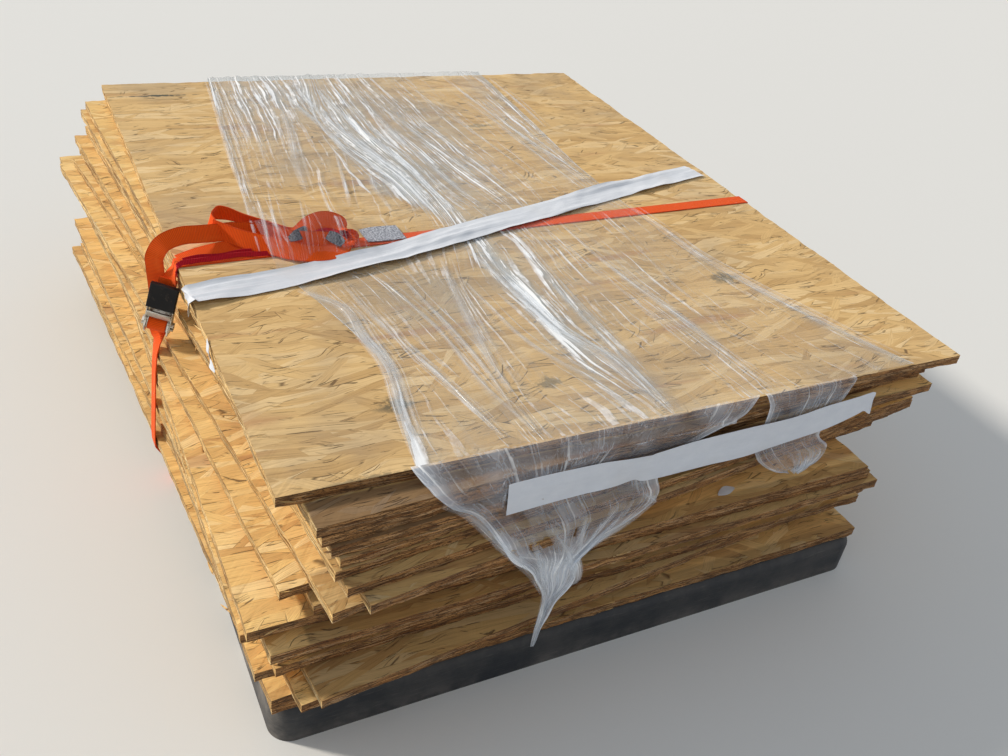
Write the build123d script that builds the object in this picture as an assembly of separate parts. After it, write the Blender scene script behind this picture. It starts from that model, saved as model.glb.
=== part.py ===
from build123d import *
from math import atan2, cos, degrees, exp, pi, radians, sin, tan
import os

# A strapped stack of strand board sheets on a moulded plastic base.
# Frame: origin at the centre of the base's underside, +Z up, +Y away from the front edge,
# +X to the right. All sizes are in millimetres.

# Base slab
base_width = 941.0
base_depth = 1219.0
base_height = 62.0
base_corner_radius = 30.0
base_rim_radius = 16.0
base_groove_width = 34.0
base_groove_depth = 4.0

# Sheets
board_thickness = 15.1
board_gap = 0.2
top_board_width = 1016.0
top_board_depth = 1219.0
cut_board_width = 938.0
cut_board_depth = 1219.0
short_board_depth = 1165.0
narrow_cut_width = 930.0
long_cut_width = 950.0

# Place of the top sheet's near left corner on the base
top_board_x = -461.0
top_board_y = -583.0

# Strap webbing and the upright plane that the strap runs in
web_width = 25.4
web_thickness = 1.6
web_clearance = 0.3
strap_y = -68.0
strap_turn = 1.3

# Ratchet buckle, which hangs in the strap beside the left edge
buckle_drop = 97.0
buckle_turn = 26.0
buckle_stand_off = 4.5
frame_inner_width = 26.6
frame_plate = 1.5
frame_front = -4.0
frame_back = 16.5
frame_top = 51.0
frame_bottom = -9.0
running_gap = 0.25
spool_radius = 6.5
spool_slot = 2.6
spool_overhang = 3.5
roll_radius = 12.8
wheel_teeth = 11
wheel_first_tooth = 18.8
wheel_tip_radius = 16.0
wheel_root_radius = 13.6
wheel_thickness = 1.8
arm_plate = 1.2
arm_eye_radius = 10.5
bolt_height = 44.0
bolt_depth = 4.0
bolt_radius = 3.0
bolt_head_radius = 5.0
bolt_head_height = 1.7
pawl_thickness = 2.0
pawl_length = 12.0
grip_low = 29.0
grip_high = 66.0
grip_front = -16.0
grip_back = -7.0
grip_wall = 2.0
grip_half_width = 19.6
grip_edge_radius = 1.5

# Tape, label and film
tape_width = 50.0
tape_thickness = 0.4
label_length = 60.0
label_width = 46.0
label_thickness = 0.5
film_thickness = 0.5
film_columns = 9
film_wave = 1.5
film_wave_length = 170.0
film_hump = 42.0
film_hump_x = 200.0
film_hump_y = 530.0
film_hump_reach_x = 115.0
film_hump_reach_y = 95.0
skin_gap = 0.3

os.makedirs("parts", exist_ok=True)

pitch = board_thickness + board_gap

# Each cut sheet below the top one: how far its near left corner stands to the right of and
# behind the top sheet's corner, its turn in degrees (counterclockwise from above), its width
# and its depth. The stack was laid loosely, so every sheet sits a little differently.
narrow, cut, long_cut = narrow_cut_width, cut_board_width, long_cut_width
full, short = cut_board_depth, short_board_depth
lower_boards = [
    (32, -41, 3.2, cut, full),
    (38, -41, 3.9, cut, full),
    (48, -44, 2.8, cut, full),
    (57, -47, 4.6, cut, full),
    (51, -50, 5.3, cut, full),
    (61, -63, 5.6, cut, full),
    (82, -80, 7.2, cut, full),
    (45, -65, 6.6, cut, full),
    (4, -3, 4.4, cut, full),
    (38, -22, 5.0, cut, full),
    (-37, -22, 0.3, narrow, full),
    (-42, -10, -0.2, long_cut, full),
    (-15, -37, 1.0, cut, full),
    (-5, -28, 2.2, cut, full),
    (-8, -32, 3.7, cut, short),
    (-29, -19, 0.9, long_cut, short),
    (35, -70, 5.7, cut, short),
    (15, -57, 5.4, cut, short),
    (-12, -28, 3.9, long_cut, short),
    (-10, -24, 0.5, cut, short),
]
board_count = len(lower_boards) + 1
stack_top = base_height + board_count * pitch


def save(shape, node):
    shape.label = node
    export_step(shape, f"parts/{node}.step")


def on_top(x, y, z=0.0):
    """A point measured from the top sheet's near left corner, on its upper face."""
    return Vector(top_board_x + x, top_board_y + y, stack_top + z)


def strip(stations, thickness, width=web_width):
    """A flat band through stations: middle point, direction along, direction across and,
    where it differs from the usual width, a width."""
    outlines = []
    for middle, along, across, *own_width in stations:
        along = along.normalized()
        across = (across - along * across.dot(along)).normalized()
        plane = Plane(origin=middle, x_dir=across, z_dir=along)
        outlines.append(plane * Rectangle(own_width[0] if own_width else width, thickness))
    return loft(outlines, ruled=True)


def board_place(index):
    """Near left corner, turn, width and depth of one sheet, counted down from the top."""
    if index == 0:
        return 0, 0, 0, top_board_width, top_board_depth
    return lower_boards[index - 1]


def board(index):
    shift_x, shift_y, turn, width, depth = board_place(index)
    blank = Box(width, depth, board_thickness, align=(Align.MIN, Align.MIN, Align.MIN))
    low = on_top(shift_x, shift_y, -index * pitch - board_thickness)
    return blank.moved(Location(low, (0, 0, turn)))


def base_slab():
    body = Box(base_width, base_depth, base_height, align=(Align.CENTER, Align.CENTER, Align.MIN))
    body = fillet(body.edges().filter_by(Axis.Z), base_corner_radius)
    body = fillet(body.faces().sort_by(Axis.Z)[-1].edges(), base_rim_radius)
    groove = Box(base_width * 1.1, base_groove_width, base_groove_depth * 2)
    return body - Location((0, strap_y, 0), (0, 0, strap_turn)) * groove


# The strap is pulled taut, so its path is the outline that wraps the whole stack where the
# strap's plane cuts it.
strap_slope = tan(radians(strap_turn))
strap_across = Vector(-sin(radians(strap_turn)), cos(radians(strap_turn)), 0)


def strap_point(x, z):
    return Vector(x, strap_y + strap_slope * x, z)


def board_ends(index, beside):
    """Where the left and the right edge of one sheet meet a plane beside the strap's plane."""
    shift_x, shift_y, turn, width, depth = board_place(index)
    s, c = sin(radians(turn)), cos(radians(turn))
    ends = []
    for run in (0, width):
        corner = on_top(shift_x + run * c, shift_y + run * s)
        line_y = strap_y + beside + strap_slope * corner.X
        reach = (line_y - corner.Y) / (c + strap_slope * s)
        ends.append(corner.X - reach * s)
    return ends


def section_corners():
    half = base_width / 2
    corners = [(side * half, height) for side in (-1, 1)
               for height in (base_groove_depth, base_height - base_rim_radius)]
    for index in range(board_count):
        top = stack_top - index * pitch
        for beside in (-web_width / 2, web_width / 2):
            for end in board_ends(index, beside):
                corners += [(end, top), (end, top - board_thickness)]
    return corners


def wrap(points):
    """Corners of the taut outline round the points, counterclockwise."""
    def half_wrap(ordered):
        chain = []
        for x, z in ordered:
            while len(chain) > 1:
                (ax, az), (bx, bz) = chain[-2:]
                if (bx - ax) * (z - az) - (bz - az) * (x - ax) > 0:
                    break
                chain.pop()
            chain.append((x, z))
        return chain[:-1]
    ordered = sorted(set(points))
    return half_wrap(ordered) + half_wrap(ordered[::-1])


outline = wrap(section_corners())
top_left = min(outline, key=lambda corner: (-corner[1], corner[0]))
start = outline.index(top_left) + 1
outline = outline[start:] + outline[:start]
web_stand_off = web_clearance + web_thickness / 2

# Frame of the buckle: its Z runs up along the strap, its X along the spool, its Y inwards.
span = Vector(top_left[0] - outline[0][0], 0, top_left[1] - outline[0][1])
up_strap = (strap_point(*top_left) - strap_point(*outline[0])).normalized()
outwards = Vector(-span.Z, 0, span.X).normalized()
hang_line = strap_point(*top_left) + outwards * web_stand_off - up_strap * buckle_drop
spool_centre = hang_line + outwards * buckle_stand_off
side = strap_across.cross(up_strap).normalized()
swing = radians(buckle_turn)
buckle = Plane(origin=spool_centre, x_dir=side * cos(swing) - strap_across * sin(swing),
               z_dir=up_strap)
half_turn = 90.0 - buckle_turn


def in_buckle(x, y, z):
    return buckle.from_local_coords(Vector(x, y, z))


def on_hang_line(z, share=0.0, y=0.0):
    """A point on the taut line that the buckle hangs in, or a share of the way to the buckle."""
    return hang_line + up_strap * z + outwards * buckle_stand_off * share + buckle.y_dir * y


def twisted(angle):
    """Direction across the strap, turned about it towards the buckle's own direction."""
    turn = radians(angle)
    return strap_across * cos(turn) + up_strap.cross(strap_across) * sin(turn)


def strap_run():
    tangent = roll_radius - web_thickness / 2
    down = up_strap * -1
    stations = [
        (in_buckle(0, tangent, 0), down, twisted(half_turn)),
        (in_buckle(0, tangent, -8), down, twisted(half_turn)),
        (on_hang_line(-16, 0.8, tangent * 0.7), down, twisted(half_turn * 0.7)),
        (on_hang_line(-23, 0.4, tangent * 0.35), down, twisted(half_turn * 0.35)),
        (on_hang_line(-30, 0.1, tangent * 0.1), down, twisted(half_turn * 0.1)),
        (on_hang_line(-36), down, twisted(0)),
    ]
    count = len(outline)
    for index, corner in enumerate(outline):
        before, after = outline[index - 1], outline[(index + 1) % count]
        arrive = atan2(corner[1] - before[1], corner[0] - before[0])
        leave = atan2(after[1] - corner[1], after[0] - corner[0])
        bend = (leave - arrive) % (2 * pi)
        steps = max(1, round(degrees(bend) / 30))
        for step in range(steps + 1):
            heading = arrive + bend * step / steps
            middle = strap_point(corner[0] + web_stand_off * sin(heading),
                                 corner[1] - web_stand_off * cos(heading))
            along = Vector(cos(heading), strap_slope * cos(heading), sin(heading))
            stations.append((middle, along, strap_across))
    eye = bolt_radius + web_clearance + web_thickness
    stations += [
        (on_hang_line(86), down, twisted(0)),
        (on_hang_line(74, 0.4, bolt_depth * 0.4), down, twisted(half_turn * 0.35)),
        (on_hang_line(62, 0.8, bolt_depth * 0.8), down, twisted(half_turn * 0.8)),
        (in_buckle(0, bolt_depth, 52), down, twisted(half_turn)),
        (in_buckle(0, bolt_depth, bolt_height + eye - 0.6), down, twisted(half_turn)),
    ]
    return strip(stations, web_thickness)


def across_buckle(radius, length, y=0.0, z=0.0):
    """A round bar along the buckle's width, centred on it."""
    return Pos(0, y, z) * Rot(0, 90, 0) * Cylinder(radius, length)


def strap_in_buckle():
    """The sewn eye round the bolt and the turns of webbing on the spool."""
    eye_inner = bolt_radius + web_clearance
    eye = (across_buckle(eye_inner + web_thickness, web_width, bolt_depth, bolt_height)
           - across_buckle(eye_inner, web_width + 1, bolt_depth, bolt_height))
    roll_inner = spool_radius + web_clearance
    roll = across_buckle(roll_radius, web_width) - across_buckle(roll_inner, web_width + 1)
    through = Box(web_width, 2 * roll_inner + 1, web_thickness)
    return buckle * eye, buckle * (roll + through)


def side_plates(outline_face, inner, thickness):
    """Two mirrored plates from one outline drawn in the buckle's side view."""
    plate = extrude(Plane.YZ.offset(inner) * outline_face, thickness)
    return plate + plate.mirror(Plane.YZ)


def buckle_frame():
    half = frame_inner_width / 2
    low_back = frame_back - frame_plate
    outline_face = make_face(Polyline(
        (frame_front, frame_top - 6), (frame_front + 6, frame_top), (low_back, frame_top),
        (low_back, frame_bottom), (2, frame_bottom - 2), (-9, -6), (-9, 6), (frame_front, 12),
        close=True))
    plates = side_plates(outline_face, half, frame_plate)
    back = Box(frame_inner_width + 2 * frame_plate, frame_plate, frame_top - frame_bottom,
               align=(Align.CENTER, Align.MIN, Align.MIN))
    body = plates + Pos(0, low_back, frame_bottom) * back
    body -= across_buckle(spool_radius + running_gap, 60)
    body -= across_buckle(bolt_radius + running_gap, 60, bolt_depth, bolt_height)
    body -= locking_pawl_body(running_gap)
    return buckle * body


def bar(width, depth, height, extra=0.0):
    return Box(width + 2 * extra, depth + 2 * extra, height + 2 * extra)


def locking_pawl_body(extra=0.0):
    """Flat plate that slides in the frame with its edge between the wheels' teeth."""
    reach = wheel_root_radius + 1.0 + pawl_length / 2
    width = frame_inner_width + 2 * (frame_plate + running_gap + wheel_thickness)
    return Rot(-29.5, 0, 0) * Pos(0, 0, reach) * bar(width, pawl_thickness, pawl_length, extra)


def driving_pawl():
    """The handle's pawl, drawn back just clear of the teeth as when the handle is closed."""
    reach = wheel_tip_radius + running_gap + pawl_length / 2
    width = frame_inner_width + 2 * (frame_plate + running_gap + wheel_thickness)
    return buckle * Rot(36, 0, 0) * Pos(0, 0, reach) * bar(width, pawl_thickness, pawl_length)


def spool():
    length = frame_inner_width + 2 * (frame_plate + wheel_thickness + arm_plate
                                      + 3 * running_gap + spool_overhang)
    round_bar = across_buckle(spool_radius, length)
    return buckle * (round_bar - Box(length + 1, 3 * spool_radius, spool_slot))


def ratchet_wheels():
    corners = []
    for tooth in range(wheel_teeth):
        for radius, part in ((wheel_tip_radius, 0.0), (wheel_root_radius, 0.12)):
            angle = radians(wheel_first_tooth) + 2 * pi * (tooth + part) / wheel_teeth
            corners.append((radius * cos(angle), radius * sin(angle)))
    toothed = make_face(Polyline(*corners, close=True))
    inner = frame_inner_width / 2 + frame_plate + running_gap
    wheels = side_plates(toothed, inner, wheel_thickness)
    return buckle * (wheels - across_buckle(spool_radius + running_gap, 60))


def bolt():
    shank = frame_inner_width + 2 * frame_plate
    body = across_buckle(bolt_radius, shank + 0.5, bolt_depth, bolt_height)
    head = Rot(0, 90, 0) * Cylinder(bolt_head_radius, bolt_head_height,
                                    align=(Align.CENTER, Align.CENTER, Align.MIN))
    end = shank / 2 + 0.05
    body += Pos(end, bolt_depth, bolt_height) * head
    body += Pos(-end - bolt_head_height, bolt_depth, bolt_height) * head
    return buckle * body


def arm_inner():
    return frame_inner_width / 2 + frame_plate + wheel_thickness + 2 * running_gap


def handle_arms():
    outline_face = make_hull(
        Circle(arm_eye_radius).edges()
        + (Pos((grip_front + grip_back) / 2 + grip_wall / 2, grip_high - 8)
           * Rectangle(grip_back - grip_front - grip_wall - 1, 10)).edges())
    plates = side_plates(make_face(outline_face.edges()), arm_inner(), arm_plate)
    return buckle * (plates - across_buckle(spool_radius + running_gap, 60))


def grip():
    tall = grip_high - grip_low
    deep = grip_back - grip_front
    block = Pos(0, grip_front, grip_low) * Box(2 * grip_half_width, deep, tall,
                                               align=(Align.CENTER, Align.MIN, Align.MIN))
    block = fillet(block.faces().sort_by(Axis.Y)[0].edges(), grip_edge_radius)
    clear_half = arm_inner() + arm_plate + skin_gap
    hollow = Pos(0, grip_front + grip_wall, grip_low - 1) * Box(
        2 * clear_half, deep, tall + 1 - grip_wall, align=(Align.CENTER, Align.MIN, Align.MIN))
    return buckle * (block - hollow)


def strap_tail():
    """The loose end: up behind the buckle, over the edge and into a folded bundle."""
    behind = frame_back + web_clearance + web_thickness / 2
    across = buckle.x_dir
    up = up_strap
    stations = [
        (in_buckle(0, roll_radius + web_clearance + web_thickness / 2, frame_bottom - 8),
         up + buckle.y_dir * 0.8, across),
        (in_buckle(-1, behind, frame_bottom - 3), up + buckle.y_dir * 0.2, across),
        (in_buckle(-5, behind, 12), up, across),
        (in_buckle(-9, behind, 34), up, across),
        (in_buckle(-19, behind + 1, 52), up - across * 0.1, across),
        (on_top(-26, 519, -8), Vector(0, 0, 1), Vector(0.90, -0.44, 0)),
        (on_top(-25, 521, 8), Vector(0.2, 0.1, 1), Vector(0.84, -0.50, -0.20)),
        (on_top(-13, 524, 23), Vector(0.75, 0.3, 0.6), Vector(0.50, -0.60, -0.62)),
        (on_top(12, 530, 29), Vector(1, 0.25, 0.05), Vector(0.16, -0.55, -0.82)),
        (on_top(40, 536, 26), Vector(1, 0.25, -0.15), Vector(0.08, -0.50, -0.86)),
        (on_top(65, 543, 22), Vector(1, 0.2, -0.15), Vector(0.10, -0.50, -0.86)),
        (on_top(131, 550, 16), Vector(1, 0.1, -0.1), Vector(0.10, -0.50, -0.86)),
    ]
    return strip(stations, web_thickness)


def loose_fold(middles, acrosses):
    """One bent length of the loose end, standing or leaning on the top sheet."""
    stations = []
    last = len(middles) - 1
    for index, middle in enumerate(middles):
        before, after = middles[max(index - 1, 0)], middles[min(index + 1, last)]
        along = on_top(*after) - on_top(*before)
        stations.append((on_top(*middle), along, Vector(*acrosses[index])))
    return strip(stations, web_thickness)


def strap_bundle():
    lean = (-0.1, 0.5, 0.86)
    front = loose_fold(
        [(62, 557, 24.7), (73, 544, 22.2), (95, 524, 18.7), (131, 501, 15.7), (154, 484, 14.2),
         (180, 474, 12.2), (208, 475, 9.2), (229, 483, 7.2)],
        [(-0.4, 0.52, 0.75), (-0.25, 0.52, 0.82), lean, lean, (-0.05, 0.62, 0.78),
         (0, 0.75, 0.66), (0.1, 0.9, 0.42), (0.2, 0.95, 0.2)])
    back = loose_fold(
        [(66, 580, 24.7), (84, 592, 26.7), (111, 579, 22.7), (141, 563, 18.7),
         (171, 545, 15.7), (201, 528, 12.7), (231, 517, 6.9)],
        [(0, -0.4, 0.9), (0, -0.4, 0.9), (0, -0.5, 0.86), (0, -0.6, 0.8), (0, -0.7, 0.7),
         (0, -0.8, 0.6), (0, -0.9, 0.4)])
    hump = loose_fold(
        [(166, 519, 12.7), (185, 527, 18.7), (201, 533, 29.7), (219, 533, 35.7),
         (239, 527, 33.7), (255, 521, 23.7), (261, 517, 8.7)],
        [(0, 1, 0), (0, 1, 0), (0, 1, 0), (0, 1, 0), (0, 1, 0), (0, 1, 0), (0, 1, 0)])
    return [front, back, hump]


def label():
    level = web_clearance + web_thickness + skin_gap + label_thickness / 2
    place = Location(on_top(312, 527, level), (0, 0, strap_turn))
    return place * Box(label_length, label_width, label_thickness)


def tape_over_top():
    """Tape laid slantwise over the top sheet and over the strap, down the left edge."""
    flat = skin_gap + tape_thickness / 2
    lifted = flat + web_clearance + web_thickness
    across = Vector(0, 1, 0)
    stations = [
        (on_top(-flat, 411, -board_thickness), Vector(0, 0, 1), across),
        (on_top(-flat, 411, 0), Vector(0, 0, 1), across),
        (on_top(0, 411, flat), Vector(1, 0, 0), across),
    ]
    middle = [(100, 424, flat), (200, 441, flat), (300, 463, flat), (345, 476, lifted),
              (457, 510, lifted), (645, 562, lifted), (700, 580, flat), (782, 603, flat),
              (top_board_width - 19, 658, flat)]
    before = (0, 411)
    for x, y, level in middle:
        along = Vector(x - before[0], y - before[1], 0)
        stations.append((on_top(x, y, level), along, across))
        before = (x, y)
    return strip(stations, tape_thickness, tape_width)


def tape_on_front():
    """Tape stuck slantwise along the front edges of the upper cut sheets."""
    shift_x, shift_y, turn, width, depth = board_place(3)
    slope = tan(radians(turn))
    stations = []
    for x, z in ((256, -42), (324, -43), (400, -46), (480, -52), (600, -55), (700, -55),
                 (780, -51), (858, -47)):
        front = shift_y + (x - shift_x) * slope
        middle = on_top(x, front - skin_gap - tape_thickness, z)
        stations.append((middle, Vector(1, slope, 0), Vector(0, 0, 1)))
    return strip(stations, tape_thickness, tape_width - 4)


def tape_scrap():
    ledge = -11 * pitch + skin_gap + tape_thickness / 2
    points = [(626, 2, ledge), (640, 5, ledge), (656, 6, ledge)]
    stations = [(on_top(*p), Vector(1, 0.1, 0), Vector(0, 1, 0), w)
                for p, w in zip(points, (4, 9, 7))]
    return strip(stations, tape_thickness)


def film_height(x, y):
    """Height of the film over the top sheet: low waves, and a hump over the bundle."""
    hump = exp(-((x - film_hump_x) / film_hump_reach_x) ** 2
               - ((y - film_hump_y) / film_hump_reach_y) ** 2)
    wave = film_wave * (1 + sin(x / film_wave_length * 2 * pi + y / top_board_depth))
    return wave + film_hump * hump


def film_over_top():
    """Rows from the far edge to the front edge: distance from the front edge, left and right
    rim, all measured from the top sheet's near left corner."""
    level = skin_gap * 3 + web_clearance + web_thickness + tape_thickness + film_thickness / 2
    rows = [(top_board_depth - 3, 200, 800), (1119, 187, 794), (925, 165, 785),
            (759, 146, 772), (667, 140, 765), (590, 140, 772), (535, 140, 780),
            (480, 130, 788), (416, 121, 793), (365, 152, 798), (300, 182, 812),
            (200, 190, 842), (113, 181, 876), (40, 165, 912), (3, 156, 924)]
    outlines = []
    for y, left, right in rows:
        middle = []
        for step in range(film_columns + 1):
            x = left + (right - left) * step / film_columns
            middle.append((x, level + film_height(x, y)))
        upper = [on_top(x, y, z + film_thickness / 2) for x, z in middle]
        lower = [on_top(x, y, z - film_thickness / 2) for x, z in reversed(middle)]
        outlines.append(make_face(Polyline(*upper, *lower, close=True)))
    return loft(outlines, ruled=True)


def film_hanging():
    level = skin_gap * 3 + web_clearance + web_thickness + tape_thickness + film_thickness / 2
    sideways = Vector(1, 0, 0)
    down = Vector(0, 0, -1)
    stations = [
        (on_top(315, 2.6, level), Vector(0, -1, 0), sideways, 330),
        (on_top(315, -3, level), Vector(0, -1, -0.3), sideways, 330),
        (on_top(325, -44, -3), Vector(0, -0.8, -1), sideways, 300),
        (on_top(340, -56, -44), down, sideways, 270),
        (on_top(362, -62, -100), down, sideways, 225),
        (on_top(368, -62, -150), down, sideways, 150),
        (on_top(350, -56, -205), down, sideways, 60),
        (on_top(337, -50, -250), down, sideways, 20),
        (on_top(332, -48, -290), down, sideways, 8),
    ]
    return strip(stations, film_thickness)


def film_pouch():
    level = skin_gap * 3 + web_clearance + web_thickness + tape_thickness + film_thickness / 2
    sideways = Vector(1, 0, 0)
    down = Vector(0, 0, -1)
    stations = [
        (on_top(722, 2.6, level), Vector(0, -1, 0), sideways, 140),
        (on_top(722, -3, level), Vector(0, -1, -0.3), sideways, 140),
        (on_top(722, -26, -20), Vector(0, -0.4, -1), sideways, 136),
        (on_top(718, -28, -70), down, sideways, 120),
        (on_top(708, -26, -100), down, sideways, 60),
    ]
    return strip(stations, film_thickness)


save(base_slab(), "base_slab")
for index in range(board_count):
    save(board(index), f"sheet_{index + 1:02d}")
eye, roll = strap_in_buckle()
save(strap_run() + eye + roll, "strap_webbing")
tail = strap_tail()
for piece in strap_bundle():
    tail += piece
save(tail, "strap_loose_end")
save(label(), "strap_label")
save(buckle_frame(), "ratchet_frame")
save(buckle * locking_pawl_body(), "ratchet_locking_pawl")
save(driving_pawl(), "ratchet_driving_pawl")
save(spool(), "ratchet_spool")
save(ratchet_wheels(), "ratchet_wheels")
save(bolt(), "ratchet_bolt")
save(handle_arms(), "ratchet_handle_arms")
save(grip(), "ratchet_handle_grip")
save(tape_over_top(), "tape_over_top")
save(tape_on_front(), "tape_on_front")
save(tape_scrap(), "tape_scrap")
save(film_over_top(), "film_over_top")
save(film_hanging(), "film_hanging")
save(film_pouch(), "film_pouch")
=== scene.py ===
# %% [markdown]
# # A strapped stack of strand board
# The object is a stack of 21 sheets of strand board, lying loosely on a low plastic base.
# A ratchet strap holds it, two strips of white tape and a length of clear stretch film cover
# it. The hard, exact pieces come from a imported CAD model. Blender gives them their finishes
# and remakes what the CAD model keeps plain: the ragged sheets, the woven strap, the creased
# tape and the wrinkled film.

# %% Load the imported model
from math import atan2, ceil, cos, exp, pi, radians, sin
from random import Random

import bmesh
import bpy
from mathutils import Matrix, Vector, noise


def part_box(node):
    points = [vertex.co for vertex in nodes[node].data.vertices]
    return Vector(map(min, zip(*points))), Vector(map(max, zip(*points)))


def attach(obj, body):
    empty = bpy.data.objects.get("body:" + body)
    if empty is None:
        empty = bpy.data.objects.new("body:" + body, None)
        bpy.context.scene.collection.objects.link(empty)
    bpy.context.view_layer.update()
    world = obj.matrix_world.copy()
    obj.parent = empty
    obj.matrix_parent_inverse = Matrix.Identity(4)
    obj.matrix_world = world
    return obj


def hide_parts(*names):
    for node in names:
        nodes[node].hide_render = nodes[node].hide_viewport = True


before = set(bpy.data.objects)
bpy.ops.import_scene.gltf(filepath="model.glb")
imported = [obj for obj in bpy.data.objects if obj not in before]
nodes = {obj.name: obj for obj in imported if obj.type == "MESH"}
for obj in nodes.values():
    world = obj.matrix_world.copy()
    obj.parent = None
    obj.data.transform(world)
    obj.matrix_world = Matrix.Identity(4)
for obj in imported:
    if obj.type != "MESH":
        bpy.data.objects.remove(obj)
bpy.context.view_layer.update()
print("CAD nodes:", len(nodes))

# %% [markdown]
# ## The camera
# The camera stands where the photograph was taken, a little over a metre up, in front of the
# stack's near left corner. Its place was worked out from the top sheet's corners. A camera
# looks along its own -Z axis, so the three directions below are the columns of its matrix.

# %% Camera
eye = Vector((-0.6634, -1.3301, 1.0853))
rightwards = Vector((0.89107, -0.43499, 0.12957))
upwards = Vector((0.1543, 0.5588, 0.81482))
backwards = Vector((-0.42684, -0.70607, 0.56505))
camera_data = bpy.data.cameras.new("camera")
camera_data.sensor_width = 36.0
camera_data.lens = 35.18
camera = bpy.data.objects.new("camera", camera_data)
bpy.context.collection.objects.link(camera)
turn = Matrix((rightwards, upwards, backwards)).transposed().to_4x4()
camera.matrix_world = Matrix.Translation(eye) @ turn
bpy.context.scene.camera = camera
print("lens", camera_data.lens, "mm, camera height", round(eye.z, 2), "m")

# %% [markdown]
# ## One class for numbers that change over a surface
# A material is a graph of nodes. Long graphs are hard to read when each Math node takes four
# lines, so a small class wraps the output of a node, and ordinary Python sums on it add the
# Math nodes.

# %% Numbers on a surface
def math_node(operation, *values):
    """A Math node on Amounts and plain numbers."""
    tree = next(value.socket.id_data for value in values if isinstance(value, Amount))
    node = tree.nodes.new("ShaderNodeMath")
    node.operation = operation
    for socket, value in zip(node.inputs, values):
        if isinstance(value, Amount):
            tree.links.new(value.socket, socket)
        else:
            socket.default_value = value
    return Amount(node.outputs[0])


def largest(first, *others):
    """The largest of several Amounts."""
    for other in others:
        first = math_node("MAXIMUM", first, other)
    return first


def adds_node(operation):
    """A method that adds one Math node."""
    return lambda self, *other: math_node(operation, self, *other)


def adds_turned(operation):
    """The same with the number first and the Amount second."""
    return lambda self, other: math_node(operation, other, self)


class Amount:
    """A number that changes over a surface."""

    def __init__(self, socket):
        self.socket = socket

    __add__, __radd__ = adds_node("ADD"), adds_turned("ADD")
    __sub__, __rsub__ = adds_node("SUBTRACT"), adds_turned("SUBTRACT")
    __mul__, __truediv__ = adds_node("MULTIPLY"), adds_node("DIVIDE")
    __gt__, __abs__ = adds_node("GREATER_THAN"), adds_node("ABSOLUTE")

    def between(self, low, high, rise="SMOOTHSTEP"):
        """0 below low, 1 above high and a smooth rise between them."""
        tree = self.socket.id_data
        node = tree.nodes.new("ShaderNodeMapRange")
        node.interpolation_type = rise
        tree.links.new(self.socket, node.inputs["Value"])
        node.inputs["From Min"].default_value = low
        node.inputs["From Max"].default_value = high
        return Amount(node.outputs[0])


# %% [markdown]
# ## One class for a finish
# Every finish starts from the Principled shader, which can be wood, cloth, steel or plastic.
# The class has one method that adds any node: its type, then its settings, then the values or
# links of its sockets. A few short methods name the nodes that are used again and again.

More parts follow.
